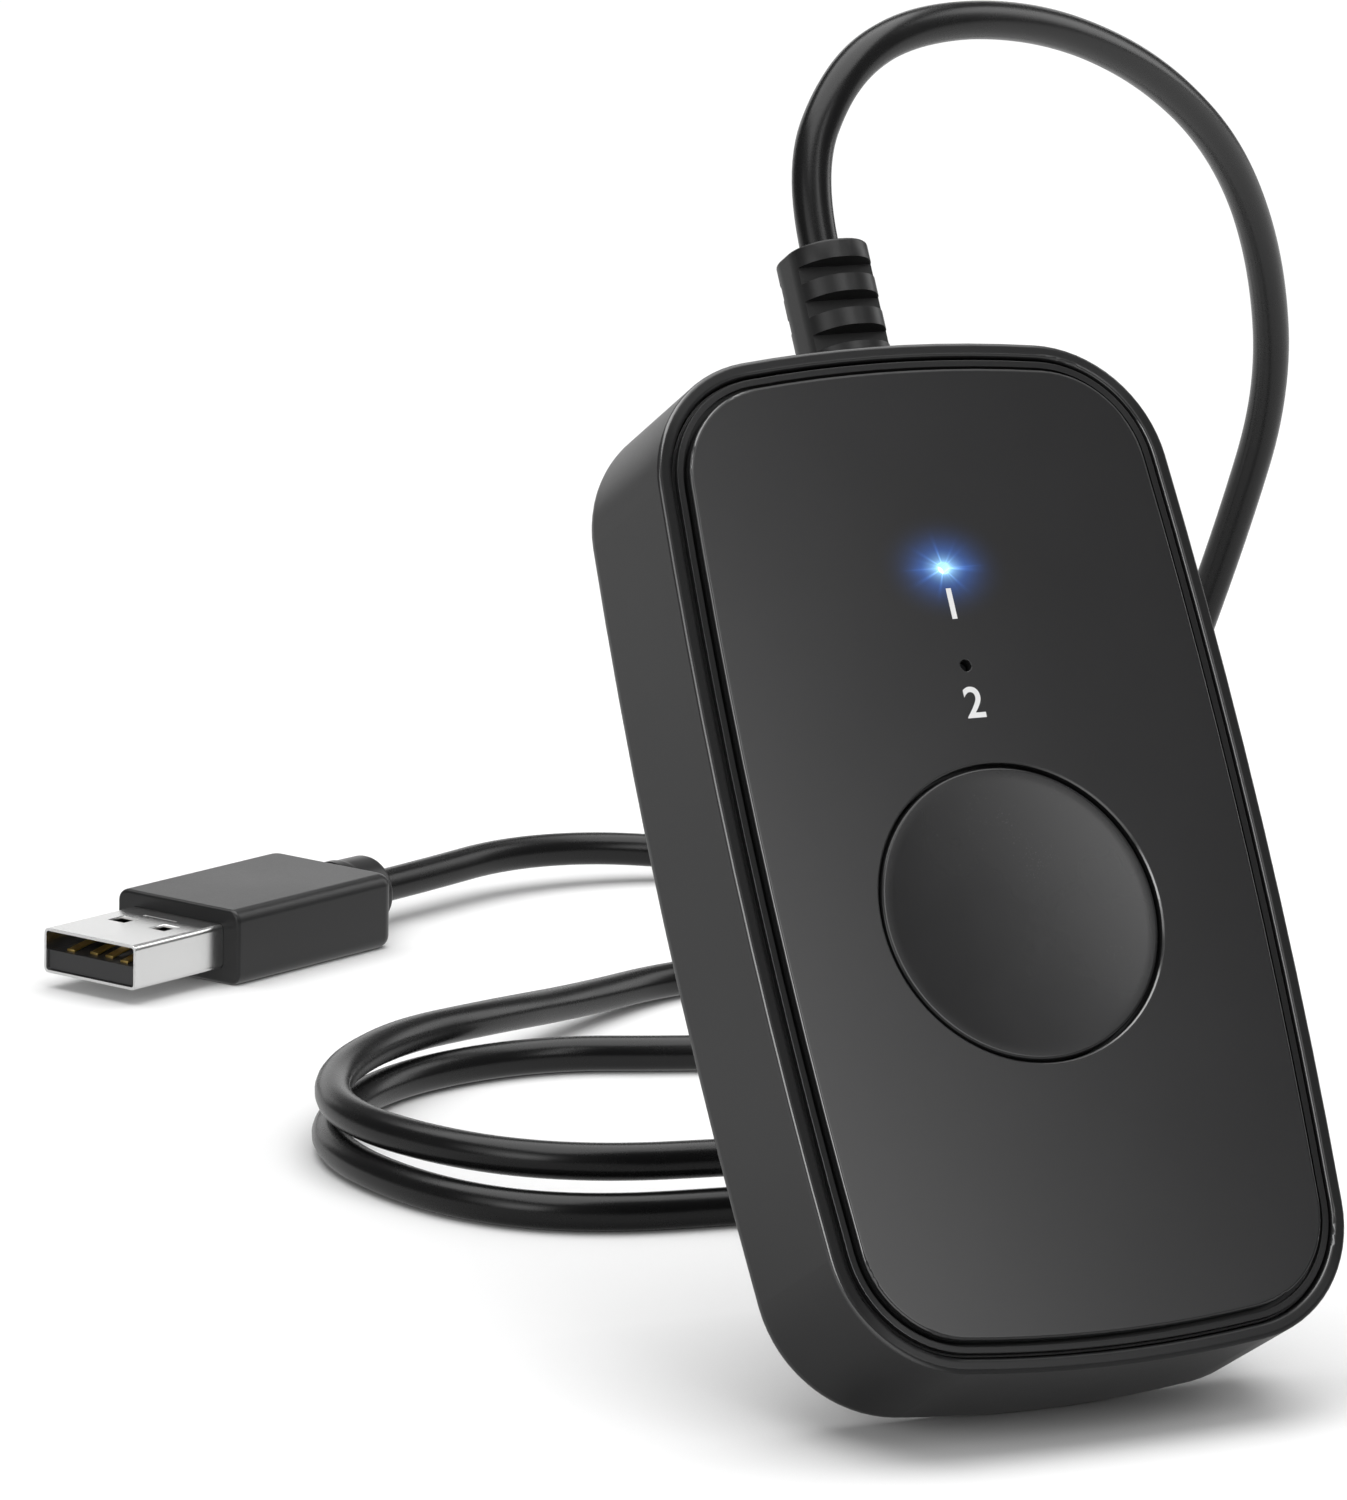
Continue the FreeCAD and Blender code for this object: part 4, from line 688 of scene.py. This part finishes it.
def plug_contacts():
    """Four sprung gold strips on the tongue, the outer two reaching nearer the mouth."""
    end, tip, spring, steps = 8.8, 0.25, 0.5, 12
    strips = []
    for side in (-3.5, -1.0, 1.0, 3.5):
        front = 1.15 if abs(side) > 2 else 1.75
        strip = block("strip", (front, side - 0.5, 3.8), (front + tip, side + 0.5, 4.02))
        pick(strip, "FACE", lambda place, facing: facing.x > 0.9)
        run = (end - front - tip) / steps
        rise = [spring * math.sin(math.pi * k / steps) for k in range(steps + 1)]
        for before, after in zip(rise, rise[1:]):
            lift = (after - before) * MM
            bpy.ops.mesh.extrude_region_move(TRANSFORM_OT_translate={"value": (run * MM, 0, lift)})
        pick(strip, "EDGE", lambda place, along: abs(along.y) < 0.1)
        bevel(0.05, 2)
        bpy.ops.object.mode_set(mode="OBJECT")
        strips.append(strip)
    return settle(join(strips), "gold_strips", contact_gold, "case", "plug_contacts",
                  PLUG_MOUTH, PLUG_TURN, 60)


def plug_grip():
    """The moulded grip with rounded edges, the socket for the shell and the round neck."""
    grip = block("grip", (13, -8, 0), (37, 8, 7.6))
    pick(grip, "EDGE", lambda place, along: abs(along.z) > 0.9 and place.x > 36)
    bevel(1.6, 6)
    pick(grip, "EDGE", lambda place, along: abs(along.z) < 0.1 and place.x > 13.1)
    bevel(1.25, 6)
    pick(grip, "EDGE", lambda place, along: place.x < 13.01)
    bevel(0.4, 3)
    bpy.ops.object.mode_set(mode="OBJECT")
    hollow_out(grip, rounded_block("socket", (12, -6.02, 1.53), (18.5, 6.02, 6.07), 0.55, 5))
    neck = turned("neck", [(0.5, 36.5), (3.78, 36.5), (3.78, 37.6), (3.7, 38.0), (3.65, 38.4), (3.62, 41.6),
                           (3.5, 41.95), (3.25, 42.2), (2.9, 42.3), (0.5, 42.3)], 64)
    neck.rotation_euler = (0, math.pi / 2, 0)
    neck.location = (0, 0, 3.8 * MM)
    bpy.ops.object.transform_apply(location=True, rotation=True, scale=True)
    return settle(join([grip, neck]), "moulded_grip", grip_black, "case", "plug_overmould",
                  PLUG_MOUTH, PLUG_TURN)


lead([ladder_boot(), plug_shell(), plug_contacts(), plug_grip()])


# --- printed marks --------------------------------------------------------------------------------

INK = 0.00001
DIGIT_SIZE = 0.0038


def printed_digit(name, digit, up):
    """A plain white number printed on the panel, its middle that far up the case."""
    curve = bpy.data.curves.new(name, "FONT")
    curve.body = digit
    curve.size = DIGIT_SIZE
    curve.align_x = "CENTER"
    curve.align_y = "CENTER"
    curve.extrude = INK
    curve.offset = INK * 5
    text = bpy.data.objects.new(name, curve)
    bpy.context.scene.collection.objects.link(text)
    bpy.context.view_layer.objects.active = text
    text.select_set(True)
    bpy.ops.object.convert(target="MESH")
    text = bpy.context.view_layer.objects.active
    place = CASE_MIDDLE + CASE_UP * up + CASE_OUT * (FACE_LEVEL + INK)
    turn = Matrix((Vector((1, 0, 0)), CASE_UP, CASE_OUT)).transposed().to_4x4()
    text.data.transform(Matrix.Translation(place) @ turn)
    text.name = name
    text.data.materials.clear()
    text.data.materials.append(print_white)
    text.select_set(False)
    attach(text, "case")


print_white = moulded("print_white", (0.72, 0.72, 0.72), 0.5, 0.08, 0.003, 0.0)
printed_digit("mark_1", "1", LIGHT_ONE - 0.0033)
printed_digit("mark_2", "2", LIGHT_TWO - 0.0034)


# --- table, light and camera ----------------------------------------------------------------------

def table():
    """A pale table that shows white and keeps the soft shadows, with painted shadow where it is closed in
    and painted shade in its reflections near the case.
    """
    bpy.ops.mesh.primitive_plane_add(size=8.0)
    plane = bpy.context.object
    plane.name = "table"
    finish = Finish("pale_table")
    # painted shadow: the table's colour and its white share darken where ambient occlusion finds it closed
    # in
    painted_shadow_ao = finish.node("ShaderNodeAmbientOcclusion", {"samples": 8}, {"Distance": 0.03}, "AO")
    paper_with_painted_shadow = finish.node("ShaderNodeBsdfDiffuse",
                        inputs={"Color": finish.tint(painted_shadow_ao, (0.55, 0.55, 0.55), (0.87, 0.87, 0.87))})
    dull = finish.node("ShaderNodeBsdfDiffuse", inputs={"Color": (0.45, 0.45, 0.45, 1.0)})
    white = finish.node("ShaderNodeEmission", inputs={"Color": (1.0, 1.0, 1.0, 1.0), "Strength": 1.05})
    seen = finish.node("ShaderNodeLightPath", output="Is Camera Ray")
    mirrored = finish.node("ShaderNodeLightPath", output="Is Glossy Ray")
    through = finish.node("ShaderNodeLightPath", output="Is Transmission Ray")
    near = finish.away((0.03, 0.06, 0.0)).within(0.36, 0.34)
    # painted shade in reflections: the table shows darker to glossy and transmission rays under the case,
    # to its left rear and in front
    under = finish.away((0.0, -0.01, 0.0)).within(0.085, 0.09)
    beside = finish.away((-0.13, 0.19, 0.0)).within(0.12, 0.06)
    in_front = finish.along((0.0, 1.0, 0.0)).within(-0.12, 0.16)
    painted_reflection_level = (1.0 - under) * (1.0 - beside * 0.64) * (1.0 - in_front * 0.5)
    share = seen * (1.0 - near * (1.0 - painted_shadow_ao * 0.12)) + (mirrored + through) * (painted_reflection_level * 0.5 + 0.08)
    lit = finish.node("ShaderNodeMixShader", inputs={0: seen, 1: dull, 2: paper_with_painted_shadow})
    finish.end(finish.node("ShaderNodeMixShader", inputs={0: share, 1: lit, 2: white}))
    plane.data.materials.append(finish.material)
    plane.select_set(False)


# Each lamp's place, the point it is aimed at, its width and height, and its power.
LAMPS = {
    "lamp_above": ((0.02, 0.2, 1.0), (0.02, 0.06, 0.0), 1.3, 1.3, 15.5),
    "lamp_front": ((0.058, -0.338, 0.292), (-0.144, -0.0215, -0.02), 0.25, 0.3, 0.75),
    "lamp_left": ((-0.75, -0.35, 0.3), (-0.016, 0.147, 0.0), 0.4, 0.4, 1.1),
    "lamp_edge": ((-0.80, -0.27, 0.48), (0.0, 0.0, 0.05), 0.75, 0.5, 1.5),
    "lamp_right": ((0.95, 0.2, 0.45), (0.0, 0.15, 0.0), 0.4, 0.75, 2.0),
    "lamp_back": ((0.6, 2.2, 0.45), (0.0, 0.0, 0.05), 2.6, 0.8, 6.5),
}


def lamp(name, place, target, width, height, power):
    """A soft rectangular lamp aimed at a point."""
    data = bpy.data.lights.new(name, "AREA")
    data.shape = "RECTANGLE"
    data.size = width
    data.size_y = height
    data.energy = power
    made = bpy.data.objects.new(name, data)
    made.location = place
    made.rotation_mode = "QUATERNION"
    made.rotation_quaternion = (Vector(target) - Vector(place)).to_track_quat("-Z", "Y")
    bpy.context.scene.collection.objects.link(made)


def studio():
    """A faint white room and the lamps."""
    world = bpy.data.worlds.new("studio")
    bpy.context.scene.world = world
    world.use_nodes = True
    tree = world.node_tree
    tree.nodes.clear()
    soft = tree.nodes.new("ShaderNodeBackground")
    soft.inputs["Color"].default_value = (1.0, 1.0, 1.0, 1.0)
    soft.inputs["Strength"].default_value = 0.1
    output = tree.nodes.new("ShaderNodeOutputWorld")
    tree.links.new(soft.outputs[0], output.inputs["Surface"])
    for name, setting in LAMPS.items():
        lamp(name, *setting)


def camera():
    """The camera that frames the whole object from its left front."""
    data = bpy.data.cameras.new("camera")
    data.lens = 210.009
    data.sensor_width = 36.0
    made = bpy.data.objects.new("camera", data)
    made.location = (-0.344163, -0.621830, 0.201221)
    made.rotation_euler = (math.radians(78.1222), math.radians(-1.1923), math.radians(-26.7474))
    bpy.context.scene.collection.objects.link(made)
    bpy.context.scene.camera = made


table()
studio()
camera()
bpy.context.scene.view_settings.view_transform = "Standard"
